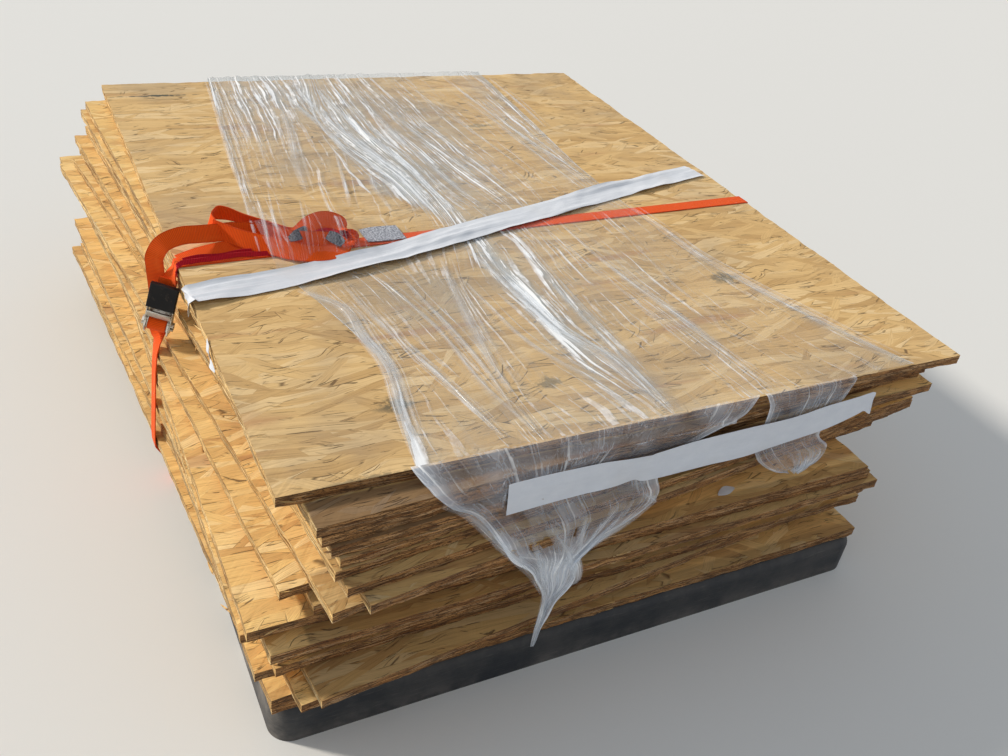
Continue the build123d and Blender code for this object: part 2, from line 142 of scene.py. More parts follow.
# %% Finishes
class Finish:
    """A material with a Principled shader, and the nodes that drive it."""

    def __init__(self, name):
        self.material = bpy.data.materials.new(name)
        self.material.use_nodes = True
        self.tree = self.material.node_tree
        self.tree.nodes.clear()
        self.shader = self.add("ShaderNodeBsdfPrincipled")
        self.add("ShaderNodeOutputMaterial", values={"Surface": self.shader.outputs[0]})

    def add(self, kind, settings=None, values=None):
        node = self.tree.nodes.new(kind)
        for name, value in (settings or {}).items():
            setattr(node, name, value)
        self.set_values(node, values or {})
        return node

    def set_values(self, node, values):
        for key, value in values.items():
            value = value.socket if isinstance(value, Amount) else value
            if isinstance(value, bpy.types.NodeSocket):
                self.tree.links.new(value, node.inputs[key])
            else:
                node.inputs[key].default_value = value

    def surface(self, **values):
        """Sets sockets of the shader: base_color means Base Color."""
        self.set_values(self.shader, {
            key.replace("_", " ").title().replace("Ior", "IOR"): value
            for key, value in values.items()})

    def place(self):
        """The place on the object, in metres."""
        return self.add("ShaderNodeTexCoord").outputs["Object"]

    def strip_place(self):
        """The place on a band or a film, in metres, from its own UV map."""
        return self.parts(self.add("ShaderNodeUVMap", {"uv_map": "weave"}).outputs[0])[:2]

    def normal(self):
        return self.parts(self.add("ShaderNodeNewGeometry").outputs["Normal"])

    def attribute(self, name):
        return Amount(self.add("ShaderNodeAttribute", {"attribute_name": name}).outputs["Fac"])

    def parts(self, vector):
        node = self.add("ShaderNodeSeparateXYZ", values={0: vector})
        return [Amount(output) for output in node.outputs]

    def join(self, x, y, z=0.0):
        return self.add("ShaderNodeCombineXYZ", values={0: x, 1: y, 2: z}).outputs[0]

    def noise(self, spot, scale=1.0, detail=2.0, roughness=0.5):
        """Noise from 0 to 1 at a place, or at two or three Amounts."""
        spot = self.join(*spot) if isinstance(spot, tuple) else spot
        return Amount(self.add("ShaderNodeTexNoise", values={
            "Vector": spot, "Scale": scale, "Detail": detail, "Roughness": roughness}).outputs[0])

    def cells(self, u, v):
        """Three random numbers for each cell of a Voronoi pattern, and how near its rim is."""
        spot = self.join(u, v)
        cell, rim = [self.add("ShaderNodeTexVoronoi",
                              {"voronoi_dimensions": "2D", "feature": feature},
                              {"Vector": spot, "Scale": 1.0})
                     for feature in ("F1", "DISTANCE_TO_EDGE")]
        return *self.parts(cell.outputs["Color"]), Amount(rim.outputs[0])

    def ramp(self, amount, *stops):
        """A colour that changes with the amount, from pairs of a position and a colour."""
        node = self.add("ShaderNodeValToRGB", values={0: amount})
        elements = node.color_ramp.elements
        while len(elements) < len(stops):
            elements.new(1.0)
        for element, (position, colour) in zip(elements, stops):
            element.position = position
            element.color = (*colour, 1.0)
        return node.outputs[0]

    def mix(self, share, first, second, blend="MIX"):
        settings = {"data_type": "RGBA", "blend_type": blend, "clamp_factor": True}
        first, second = [(*c, 1.0) if isinstance(c, tuple) else c for c in (first, second)]
        return self.add("ShaderNodeMix", settings, {0: share, 6: first, 7: second}).outputs[2]

    def bump(self, height, strength, distance):
        node = self.add("ShaderNodeBump", values={
            "Height": height, "Strength": strength, "Distance": distance})
        self.surface(normal=node.outputs[0])


# %% [markdown]
# ## Strand board
# Strand board is pressed from thousands of flat wood strands. On the faces they lie mostly
# one way, each with its own tone and its own fine grain, and where one ends a thin dark gap
# stays. A stretched Voronoi pattern gives each strand a random tone, and eight such layers at
# different angles, each covering part of those below, give strands that lie over each other.
# On the sawn edges the same strands show as thin dark and light lenses.

# %% The strand pattern of a face
# Angle from the board's width in degrees, length and width in millimetres, share covered.
strand_layers = [
    (2.0, 190, 24, 1.0), (-17.0, 130, 15, 0.25), (10.0, 150, 17, 0.45), (-6.0, 170, 13, 0.5),
    (41.0, 80, 11, 0.1), (0.0, 140, 19, 0.42), (20.0, 100, 11, 0.18), (-36.0, 90, 12, 0.1)]


def strand_face(finish, x, y, number):
    """Tone, fine grain and gaps of the strands on a flat face."""
    waver = finish.noise((x * 7.0, y * 7.0, number * 3.1)) * 1.6
    for index, (angle, length, width, share) in enumerate(strand_layers):
        s, c = sin(radians(angle)), cos(radians(angle))
        u = (x * c + y * s) / (length / 1000) + number * 3.7 + index * 11.3
        v = (y * c - x * s) / (width / 1000) + number * 5.1 + waver
        tone, lot, other, to_rim = finish.cells(u, v)
        fibres = finish.noise((u * 2.0, v * 9.0, other * 9.0), 1.0, 4.0, 0.7)
        layer = (tone, fibres, 1.0 - to_rim.between(0.0, 0.045))
        if index == 0:
            shown = layer
            continue
        there = lot > 1.0 - share
        shown = [below + (above - below) * there for below, above in zip(shown, layer)]
    tone, grain, gap = shown
    patchy = finish.noise((x, y, number), 26.0).between(0.52, 0.62)
    line = finish.noise((x * 17.0, y * 250.0 + waver * 22.0, number), 1.0, 4.0, 0.65)
    crack = (line.between(0.60, 0.63)
             * finish.noise((x, y, number + 4.0), 22.0).between(0.50, 0.56))
    return tone, grain, largest(gap * patchy, crack)


# %% The strand pattern of a sawn edge
strand_length = 0.038
strand_thickness = 0.0016


def strand_edge(finish, along, z, number):
    """Tone and gaps of the strands on the sawn edges."""
    waver = finish.noise((along * 30.0, z * 90.0, number)) * 1.5
    tone, lot, _, to_rim = finish.cells(along / strand_length + number * 2.3,
                                        z / strand_thickness + waver)
    gap = (1.0 - to_rim.between(0.03, 0.26)) * (lot > 0.35)
    pit = finish.noise((along, z * 4.0, number), 130.0).between(0.58, 0.66)
    crumb = finish.noise((along, z * 2.0, number), 390.0).between(0.58, 0.66)
    return tone, largest(gap, pit, crumb)


# %% The board finish
# Tones from the darkest strand to the lightest.
tone_stops = (0.0, 0.3, 0.7, 1.0)
fresh_face = ((0.70, 0.43, 0.17), (0.86, 0.57, 0.23), (0.92, 0.64, 0.27), (0.96, 0.73, 0.38))
old_face = ((0.58, 0.37, 0.16), (0.71, 0.475, 0.215), (0.77, 0.53, 0.25), (0.85, 0.63, 0.35))
sawn_edge = ((0.34, 0.17, 0.055), (0.66, 0.40, 0.145), (0.88, 0.60, 0.26), (0.98, 0.78, 0.45))
# Dark marks on the top sheet: middle and reach in millimetres, both as x and y, and darkness.
top_marks = [
    (-285, -470, 50, 35, 0.75), (-80, -478, 40, 30, 0.6), (330, -300, 55, 40, 0.7),
    (-360, -585, 160, 16, 0.6), (-370, 567, 150, 10, 1.0), (200, 350, 70, 20, 0.5)]


def strand_board(name, face_tones, grey, marks=(), shade_front_ledges=False):
    """Strand board with its tones, how weathered it is, and its dark marks. When its last
    argument is true, painted shade darkens the front ledges, most on the uppermost ones."""
    finish = Finish(name)
    x, y, z = finish.parts(finish.place())
    number = finish.attribute("sheet_number")
    normal = finish.normal()
    flat = abs(normal[2]) > 0.7
    tone, grain, gap = strand_face(finish, x, y, number)
    edge_tone, edge_gap = strand_edge(finish, x + y, z, number)
    face = finish.ramp(tone, *zip(tone_stops, face_tones))
    grained = finish.ramp(grain, (0.3, (0.60, 0.53, 0.44)), (0.48, (0.98, 0.97, 0.95)),
                          (0.68, (1.14, 1.13, 1.10)))
    face = finish.mix(0.8, face, grained, "MULTIPLY")
    weather = finish.noise((x, y, number * 1.7), 5.5, 4.0, 0.6).between(0.42, 0.75)
    face = finish.mix(weather * grey, face, (0.30, 0.25, 0.20))
    red = finish.noise((x * 0.5, y * 4.0, number), 6.0).between(0.62, 0.72)
    face = finish.mix(red * 0.45, face, (0.42, 0.18, 0.09))
    blotch = finish.noise((x, y, 7.0), 85.0, 4.0, 0.7)
    for *mark, darkness in marks:
        mark_x, mark_y, reach_x, reach_y = [value / 1000 for value in mark]
        away = abs(x - mark_x) / reach_x + abs(y - mark_y) / reach_y
        near = 1.0 - away.between(0.2, 1.0)
        smudge = (blotch + near * 0.3).between(0.62, 0.78) * near
        face = finish.mix(smudge * darkness, face, (0.07, 0.075, 0.06))
    face = finish.mix(gap * 0.8, face, (0.13, 0.075, 0.035))
    # Painted shade: the ledges in front of the top sheet are darkened where the sheets above
    # would shade them, the uppermost most.
    if shade_front_ledges:
        ledge = (y * -1.0).between(0.580, 0.586) * x.between(-0.433, -0.428)
        ledge_shade = ledge * (0.45 + z.between(0.320, 0.325) * 0.55)
        face = finish.mix(ledge_shade, face, (0.30, 0.27, 0.32), "MULTIPLY")
    edge = finish.ramp(edge_tone, *zip(tone_stops, sawn_edge))
    stain = finish.noise((x + y, z * 3.0, number), 9.0, 3.0).between(0.45, 0.7)
    edge = finish.mix(stain * 0.5, edge, (0.17, 0.085, 0.035))
    # Painted shade: the edges that face the front are darker and redder, and their gaps darker.
    front = (normal[1] * -1.0).between(0.4, 0.8)
    edge = finish.mix(edge_gap * (0.5 + front * 0.3), edge, (0.045, 0.025, 0.012))
    edge = finish.mix(front * 0.85, edge, (0.48, 0.34, 0.29), "MULTIPLY")
    batch = finish.ramp(finish.noise((number * 7.3, 0.5)), (0.3, (0.86, 0.82, 0.76)),
                        (0.7, (1.08, 1.06, 1.0)))
    colour = finish.mix(0.5, finish.mix(flat, edge, face), batch, "MULTIPLY")
    face_height = tone * 0.5 + grain * 0.25 - gap * 1.3
    edge_height = edge_tone * 0.4 - edge_gap * 1.2
    finish.surface(base_color=colour, roughness=0.72 + grain * 0.2, specular_ior_level=0.3)
    finish.bump(edge_height + (face_height - edge_height) * flat, 0.7, 0.0012)
    return finish.material


top_board = strand_board("top_board", old_face, 0.45, top_marks)
lower_board = strand_board("lower_board", fresh_face, 0.15, shade_front_ledges=True)
print("board nodes:", len(top_board.node_tree.nodes))

# %% [markdown]
# ## The ragged sheets
# A sawn sheet of strand board never has a clean edge: strands break out, corners crumble. The
# CAD sheets are plain boxes, so each one is replaced. One blank is modelled: a box whose rim is
# inset and cut into many short pieces, so that there is something to push about, while the
# faces inside the rim are dissolved into one. Each sheet is a copy of it, brought to its CAD
# node's size and place, and a Displace modifier with a stretched noise pushes the rim inwards.
# Inwards only, so a sheet never outgrows its CAD box.

# %% Helpers for edit mode
def pick(*objects):
    """Selects these objects alone and makes the first one active."""
    bpy.ops.object.select_all(action="DESELECT")
    for obj in objects:
        obj.select_set(True)
    bpy.context.view_layer.objects.active = objects[0]


def edit(obj, kind="EDGE"):
    """Enters edit mode on one object with nothing selected."""
    pick(obj)
    bpy.ops.object.mode_set(mode="EDIT")
    bpy.ops.mesh.select_mode(type=kind)
    bpy.ops.mesh.select_all(action="DESELECT")


def choose(obj, wanted, kind="edges"):
    """Selects the elements of an object in edit mode that a test wants."""
    bpy.ops.mesh.select_all(action="DESELECT")
    mesh = bmesh.from_edit_mesh(obj.data)
    for element in getattr(mesh, kind):
        if wanted(element):
            element.select_set(True)
    mesh.select_flush_mode()
    bmesh.update_edit_mesh(obj.data)


def cut_along(obj, axis, cuts):
    """Cuts the edges that run along an axis."""
    def along_axis(an_edge):
        first, second = (vertex.co for vertex in an_edge.verts)
        return abs((second - first).normalized()[axis]) > 0.999

    choose(obj, along_axis)
    bpy.ops.mesh.subdivide(number_cuts=cuts)


def paint(obj, material):
    obj.data.materials.clear()
    obj.data.materials.append(material)


def give_numbers(obj, name, values):
    """Writes a number at each point of the object, for its finish to read."""
    layer = obj.data.attributes.new(name, "FLOAT", "POINT")
    layer.data.foreach_set("value", values)


def joined(objects, name):
    """All the objects as one."""
    pick(*objects)
    bpy.ops.object.join()
    bpy.context.object.name = name
    return bpy.context.object


# %% The blank sheet
rim = 0.03
cuts_along = 100


def inside_rim(face):
    """Whether a face of the blank lies on top or below, away from the rim."""
    middle = face.calc_center_median()
    return abs(face.normal.z) > 0.9 and all(rim < value < 1.0 - rim for value in middle.xy)


bpy.ops.object.select_all(action="DESELECT")
bpy.ops.mesh.primitive_cube_add(size=1.0, location=(0.5, 0.5, 0.5))
blank = bpy.context.object
blank.name = "blank_sheet"
bpy.ops.object.transform_apply(location=True, rotation=False, scale=True)
edit(blank, "FACE")
choose(blank, lambda face: abs(face.normal.z) > 0.9, "faces")
bpy.ops.mesh.inset(thickness=rim, depth=0.0)
bpy.ops.mesh.select_mode(type="EDGE")
for axis, cuts in enumerate((cuts_along, cuts_along, 4)):
    cut_along(blank, axis, cuts)
bpy.ops.mesh.select_mode(type="FACE")
choose(blank, inside_rim, "faces")
bpy.ops.mesh.dissolve_faces()
bpy.ops.mesh.select_mode(type="EDGE")
for axis in (0, 1):
    cut_along(blank, axis, 1)
bpy.ops.object.mode_set(mode="OBJECT")
print("blank sheet:", len(blank.data.polygons), "faces")

# %% The chipping noise
# The strands lie flat, so the noise is stretched: long along the edge and thin in height.
bpy.ops.object.empty_add(location=(0.013, 0.027, 0.0))
stretch = bpy.context.object
stretch.scale = (0.016, 0.016, 0.0016)
chips = bpy.data.textures.new("chips", "CLOUDS")
chips.noise_scale = 1.0
chips.noise_depth = 2
bites = bpy.data.textures.new("bites", "CLOUDS")
bites.noise_scale = 0.045
bites.noise_depth = 3
bites.contrast = 4.5
bites.intensity = 1.55


def push_rim(obj, texture, strength, space):
    """Pushes the rim inwards by up to strength where the texture is dark."""
    change = obj.modifiers.new("ragged", "DISPLACE")
    change.texture = texture
    change.vertex_group = "rim"
    change.strength = strength
    change.mid_level = 1.0
    if space:
        change.texture_coords = "OBJECT"
        change.texture_coords_object = space
    pick(obj)
    bpy.ops.object.modifier_apply(modifier=change.name)


# %% Make each sheet
sheet_count = 21


def sheet_corners(number):
    """Three corners of a CAD sheet, seen from above, and its lower and upper level."""
    spots = [vertex.co for vertex in nodes[f"sheet_{number:02d}"].data.vertices]
    near_left = min(spots, key=lambda spot: spot.x + spot.y)
    near_right = max(spots, key=lambda spot: spot.x - spot.y)
    far_left = min(spots, key=lambda spot: spot.x - spot.y)
    levels = [spot.z for spot in spots]
    return near_left, near_right, far_left, min(levels), max(levels)


def make_sheet(number):
    name = f"sheet_{number:02d}"
    near_left, near_right, far_left, low, high = sheet_corners(number)
    width = (near_right - near_left).to_2d().length
    depth = (far_left - near_left).to_2d().length
    along = near_right - near_left
    obj = blank.copy()
    obj.data = blank.data.copy()
    obj.name = f"board_{number:02d}"
    bpy.context.collection.objects.link(obj)
    obj.scale = (width, depth, high - low)
    obj.rotation_euler = (0.0, 0.0, atan2(along.y, along.x))
    obj.location = (near_left.x, near_left.y, low)
    group = obj.vertex_groups.new(name="rim")
    inner = rim * 0.9
    edge_points = [vertex.index for vertex in obj.data.vertices
                   if not all(inner < value < 1.0 - inner for value in vertex.co.xy)]
    group.add(edge_points, 1.0, "REPLACE")
    pick(obj)
    bpy.ops.object.transform_apply(location=True, rotation=True, scale=True)
    push_rim(obj, chips, 0.0016, stretch)
    push_rim(obj, bites, 0.0010, None)
    give_numbers(obj, "sheet_number", [float(number)] * len(obj.data.vertices))
    paint(obj, top_board if number == 1 else lower_board)
    obj.vertex_groups.clear()
    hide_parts(name)
    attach(obj, "stack")
    return obj


sheets = [make_sheet(number) for number in range(1, sheet_count + 1)]
bpy.data.objects.remove(blank)
bpy.data.objects.remove(stretch)
print("sheets:", len(sheets), "with", sum(len(o.data.polygons) for o in sheets), "faces")

# %% [markdown]
# ## Splinters
# Sawn strand board sheds splinters: thin slivers that stick out of the edges and lie on the
# ledges. One sliver is modelled, a flat bar drawn to a point at both ends, and copied with its
# own mesh to seeded places along the front and the left edges of the sheets.

# %% One sliver and its copies
bpy.ops.object.select_all(action="DESELECT")
bpy.ops.mesh.primitive_cube_add(size=1.0)
sliver = bpy.context.object
edit(sliver)
cut_along(sliver, 0, 3)
for end, size in ((-0.5, 0.12), (0.5, 0.25), (0.25, 0.8)):
    choose(sliver, lambda vertex: abs(vertex.co.x - end) < 0.01, "verts")
    bpy.ops.transform.resize(value=(1.0, size, size))
bpy.ops.object.mode_set(mode="OBJECT")
sliver_count = 110
draw = Random(11)
slivers = []
for count in range(sliver_count):
    number = draw.choice(range(1, sheet_count + 1))
    near_left, near_right, far_left, low, high = sheet_corners(number)
    at_front = count % 3 < 2
    share = draw.uniform(0.0, 1.0) ** (1.6 if at_front else 1.0)
    place = near_left.lerp(near_right if at_front else far_left, share)
    copy = sliver.copy()
    copy.data = sliver.data.copy()
    bpy.context.collection.objects.link(copy)
    copy.scale = (draw.uniform(0.008, 0.030), draw.uniform(0.0010, 0.0030),
                  draw.uniform(0.0004, 0.0009))
    turn_by = draw.uniform(-0.5, 0.5) + (0.0 if at_front else pi / 2)
    copy.rotation_euler = (draw.uniform(-0.3, 0.3), draw.uniform(-0.10, 0.10), turn_by)
    copy.location = (place.x + draw.uniform(-0.002, 0.002),
                     place.y + draw.uniform(-0.002, 0.003),
                     draw.uniform(low + 0.001, high))
    slivers.append(copy)
bpy.data.objects.remove(sliver)
for obj in slivers:
    pick(obj)
    bpy.ops.object.transform_apply(location=True, rotation=True, scale=True)
    give_numbers(obj, "sheet_number", [draw.uniform(1.0, 22.0)] * len(obj.data.vertices))
splinters = joined(slivers, "splinters")
paint(splinters, lower_board)
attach(splinters, "stack")
print("slivers:", len(slivers), "with", len(splinters.data.polygons), "faces")

# %% [markdown]
# ## The plastic base
# The base is one black moulding with rounded upper edges. Its CAD shape is right, so it only
# gets a finish: dark plastic, scuffed along its length, with pale dust in patches, more of it
# low down and in the scuffs, and paler on the left side.

# %% Base plastic
def base_plastic():
    finish = Finish("base_plastic")
    place = finish.place()
    x, y, z = finish.parts(place)
    scuffs = finish.noise(((x + y) * 0.5, (x - y) * 0.5, z * 9.0), 40.0, 4.0, 0.7)
    dust = finish.noise(place, 14.0, 5.0, 0.65).between(0.35, 0.7)
    # The left side is made paler.
    left = (finish.normal()[0] * -1.0).between(0.2, 0.9)
    low = 1.0 - z.between(0.0, 0.03)
    cover = dust * (0.12 + left * 0.5 + low * 0.2) + scuffs.between(0.55, 0.8) * 0.2
    colour = finish.mix(cover, (0.016, 0.019, 0.024), (0.30, 0.27, 0.24))
    finish.surface(base_color=colour, roughness=0.52 + cover * 0.4, specular_ior_level=0.3)
    finish.bump(scuffs + dust * 0.3, 0.35, 0.001)
    return finish.material


paint(nodes["base_slab"], base_plastic())

# %% [markdown]
# ## The ratchet's steel and grip
# The frame, wheels, pawls, spool, bolt and the handle's arms are steel with a thin zinc
# plating, which goes dull and yellowish outdoors and takes fine scratches and specks of dirt.
# The handle's grip is black plastic with a fine grain, scuffed pale where it is held. The CAD
# shapes are right, so only their finishes are set.

# %% Zinc and grip
def zinc_steel():
    finish = Finish("zinc_steel")
    place = finish.place()
    x, y, z = finish.parts(place)
    spangle = finish.add("ShaderNodeTexVoronoi", values={"Vector": place, "Scale": 420.0})
    facet = finish.parts(spangle.outputs["Color"])[0]
    scratches = finish.noise((x * 900.0, y * 900.0, z * 160.0), 1.0, 3.0, 0.6)
    dull = finish.noise(place, 75.0, 4.0, 0.6).between(0.42, 0.68)
    specks = finish.noise(place, 420.0).between(0.64, 0.72)
    colour = finish.mix(facet * 0.5, (0.66, 0.64, 0.58), (0.74, 0.70, 0.60))
    colour = finish.mix(dull * 0.6, colour, (0.40, 0.36, 0.28))
    colour = finish.mix(specks * 0.7, colour, (0.16, 0.12, 0.09))
    finish.surface(base_color=colour, metallic=1.0 - (dull * 0.45 + specks * 0.5),
                   roughness=0.28 + dull * 0.3 + scratches * 0.15)
    finish.bump(scratches * 0.5 + facet * 0.2 - specks * 0.4, 0.35, 0.0004)
    return finish.material


def grip_plastic():
    finish = Finish("grip_plastic")
    place = finish.place()
    grain = finish.noise(place, 1500.0)
    scuffs = finish.noise(place, 110.0, 5.0, 0.7).between(0.56, 0.72)
    dust = finish.noise(place, 32.0, 3.0).between(0.45, 0.75)
    colour = finish.mix(scuffs * 0.3 + dust * 0.08, (0.008, 0.008, 0.009), (0.13, 0.11, 0.09))
    finish.surface(base_color=colour, roughness=0.42 + scuffs * 0.3 + dust * 0.1,
                   specular_ior_level=0.2)
    finish.bump(grain * 0.6 + scuffs * 0.3, 0.4, 0.0003)
    return finish.material


zinc = zinc_steel()
for name in ("frame", "locking_pawl", "driving_pawl", "spool", "wheels", "bolt", "handle_arms"):
    paint(nodes[f"ratchet_{name}"], zinc)
paint(nodes["ratchet_handle_grip"], grip_plastic())

# %% [markdown]
# ## Bands: the strap and the tapes
# A strap is a long flat strip that is bent, and so is a tape. Each one starts as a flat grid,
# as long and as wide as the strip, and its rows are laid one after the other on a run of
# stations. A station has a middle point, the direction across the strip, and its width. The
# grid's own UV map keeps the place on the strip, in metres, so the weave follows every bend.

# %% Rows of a band
def smooth_step(before, start, end, after, share):
    """A point between start and end on a smooth line through all four."""
    return 0.5 * (2.0 * start + (end - before) * share
                  + (2.0 * before - 5.0 * start + 4.0 * end - after) * share ** 2
                  + (3.0 * start - before - 3.0 * end + after) * share ** 3)


def four_near(items, index):
    """The items before, at and twice after an index, with the end ones repeated."""
    return [items[min(max(index + step, 0), len(items) - 1)] for step in (-1, 0, 1, 2)]


def metres(rows, parts=1000):
    """Rows of numbers in millimetres, or in other parts of a metre, as metres."""
    return [tuple(value / parts for value in row) for row in rows]


def stations_from(rows, width=None, start=(0.0, 0.0, 0.0)):
    """Stations from rows of whole numbers: the place in tenths of a millimetre from a start,
    the direction across in thousandths, and the width in tenths unless all have one."""
    return [(Vector(start) + Vector(value / 10000 for value in row[:3]),
             [value / 1000 for value in row[3:6]], width or row[6] / 10000) for row in rows]


def rows_on(stations, spacing, soft):
    """Rows about as far apart as spacing: place, across and width of each."""
    stations = [(Vector(place), Vector(across).normalized(), width)
                for place, across, width in stations]
    rows = []
    for index in range(len(stations) - 1):
        near = four_near(stations, index)
        count = max(1, ceil((near[2][0] - near[1][0]).length / spacing))
        for step in range(count):
            share = step / count
            if soft:
                rows.append([smooth_step(*(station[part] for station in near), share)
                             for part in range(3)])
            else:
                rows.append([near[1][part] * (1 - share) + near[2][part] * share
                             for part in range(3)])
    rows.append(list(stations[-1]))
    return rows


# %% Grids and bands
def flat_grid(name, columns, rows):
    bpy.ops.object.select_all(action="DESELECT")
    bpy.ops.mesh.primitive_grid_add(x_subdivisions=columns, y_subdivisions=rows, size=1.0)
    bpy.context.object.name = name
    return bpy.context.object


def give_weave(obj, weave):
    """Writes each point's place on the strip into the UV map."""
    layer = obj.data.uv_layers[0]
    for loop in obj.data.loops:
        layer.data[loop.index].uv = weave[loop.vertex_index]
    layer.name = "weave"


def lay_band(name, stations, thickness, columns=6, spacing=0.008, soft=True, crease=None):
    """A band on its stations. crease gives the height of a point above the strip."""
    rows = rows_on(stations, spacing, soft)
    last = len(rows) - 1
    lengths = [0.0]
    for before, row in zip(rows, rows[1:]):
        lengths.append(lengths[-1] + (row[0] - before[0]).length)
    obj = flat_grid(name, columns, last)
    weave = {}
    for vertex in obj.data.vertices:
        index = round((vertex.co.y + 0.5) * last)
        side = vertex.co.x
        place, across, width = rows[index]
        along = (rows[min(index + 1, last)][0] - rows[max(index - 1, 0)][0]).normalized()
        across = (across - along * across.dot(along)).normalized()
        up = across.cross(along)
        lift = crease(lengths[index], side) if crease else 0.0
        weave[vertex.index] = (lengths[index], side * width)
        vertex.co = place + across * side * width + up * lift
    give_weave(obj, weave)
    pick(obj)
    if thickness:
        thick = obj.modifiers.new("thickness", "SOLIDIFY")
        thick.thickness = thickness
        thick.offset = 0.0
        bpy.ops.object.modifier_apply(modifier=thick.name)
    bpy.ops.object.shade_smooth_by_angle(angle=radians(50))
    return obj, lengths[-1]


# %% [markdown]
# ## Webbing
# The strap is orange polyester webbing an inch wide. Its threads make fine ribs straight
# across it, and the two edges are woven tighter. The pattern reads the band's own UV map,
# where one unit is one metre.

# %% Webbing finish
web_width = 0.0254
rib_pitch = 0.0023
thread_pitch = 0.0011


def webbing(name, dark, light, faded):
    finish = Finish(name)
    along, side = finish.strip_place()
    ribs = math_node("SINE", along * (2 * pi / rib_pitch))
    threads = math_node("SINE", side * (2 * pi / thread_pitch) + ribs * 1.2)
    selvage = abs(side).between(web_width * 0.43, web_width * 0.46)
    worn = finish.noise((along * 14.0, side * 60.0), 1.0, 3.0, 0.6)
    shade = ribs.between(-0.9, 0.5) * 0.5 + 0.5 + threads * 0.06
    colour = finish.mix(shade, dark, light)
    colour = finish.mix(worn.between(0.5, 0.8) * 0.3, colour, faded)
    colour = finish.mix(selvage * 0.4, colour, dark)
    finish.surface(base_color=colour, roughness=0.62 + shade * 0.2, sheen_weight=0.06,
                   specular_ior_level=0.15)
    finish.bump(ribs * 0.5 + threads * 0.25, 0.6, 0.0006)
    return finish.material


web = webbing("webbing", (0.54, 0.036, 0.003), (1.0, 0.118, 0.005), (1.0, 0.21, 0.03))
# A darker, redder copy of the webbing for the parts in shade: painted shade.
shaded_web = webbing("shaded_webbing", (0.22, 0.004, 0.008), (0.62, 0.012, 0.03), (0.70, 0.05, 0.06))

# %% The taut strap
# The strap's run round the stack, from the spool down, under the base and over the top.
taut_thickness = 0.0015
across_strap = (-23, 1000, 0)
turned = (-879, 419, 227)
taut = [
    (-4861, -681, 2895, *turned), (-4881, -682, 2818, *turned),
    (-4907, -715, 2742, -698, 694, 178), (-4924, -753, 2675, -390, 916, 96),
    (-4941, -781, 2607, -130, 991, 28), (-4980, -793, 2459, *across_strap),
    (-5019, -794, 2151, *across_strap), (-5112, -796, 927, *across_strap),
    (-5112, -796, 775, *across_strap), (-4715, -787, 35, *across_strap),
    (-4705, -787, 29, *across_strap), (4705, -573, 29, *across_strap),
    (4714, -573, 33, *across_strap), (5561, -554, 3680, *across_strap),
    (5561, -554, 3833, *across_strap), (5558, -554, 3841, *across_strap),
    (5550, -554, 3844, *across_strap), (-4610, -785, 3844, *across_strap),
    (-4618, -785, 3840, *across_strap), (-4648, -785, 3729, *across_strap),
    (-4690, -771, 3616, -390, 916, 96), (-4731, -758, 3503, -768, 609, 197),
    (-4762, -751, 3407, *turned), (-4771, -751, 3372, *turned)]
strap, strap_length = lay_band("strap", stations_from(taut, web_width), taut_thickness,
                               columns=8, soft=False)
paint(strap, web)
print("taut strap:", round(strap_length, 3), "m")

# %% The webbing in the buckle
# The buckle has a frame of its own: across runs along the spool, inwards to the stack and
# upwards along the strap.
web_thickness = 0.0014
spool = Vector((-0.4909, -0.0790, 0.2909))
inwards = Vector((0.404, 0.908, -0.111))
up_strap = Vector((0.253, 0.006, 0.968))


def round_bar(depth, height, radius, angle):
    """A point round a bar of the buckle."""
    return depth + radius * cos(angle), height + radius * sin(angle)


def web_in_buckle(name, points):
    """Webbing through the middle of the buckle. Each point is metres inwards and upwards
    from the spool."""
    return lay_band(name, [
        (spool + inwards * depth + up_strap * height, [value / 1000 for value in turned],
         web_width) for depth, height in points], web_thickness, spacing=0.0025)


# The web winds inwards on the spool, and its sewn eye goes round the bolt above.
steps_a_turn = 12
roll_radius = 0.0119
roll_pitch = 0.0016
bolt_depth = 0.004
bolt_height = 0.044
eye_radius = 0.0042
roll = [round_bar(0.0, 0.0, roll_radius - roll_pitch * step / steps_a_turn,
                  radians(30.0 * step)) for step in range(32)]
sewn_eye = [(0.0048, 0.0560), (0.0050, 0.0505),
            *(round_bar(bolt_depth, bolt_height, eye_radius, radians(60.0 - 30.0 * step))
              for step in range(10)),
            (0.0016, 0.0500), (0.0022, 0.0600), (0.0010, 0.0720)]
strap_roll, roll_length = web_in_buckle("strap_roll", roll)
strap_eye, _ = web_in_buckle("strap_eye", sewn_eye)
paint(strap_roll, web)
paint(strap_eye, web)
print("webbing on the spool:", round(roll_length, 3), "m")
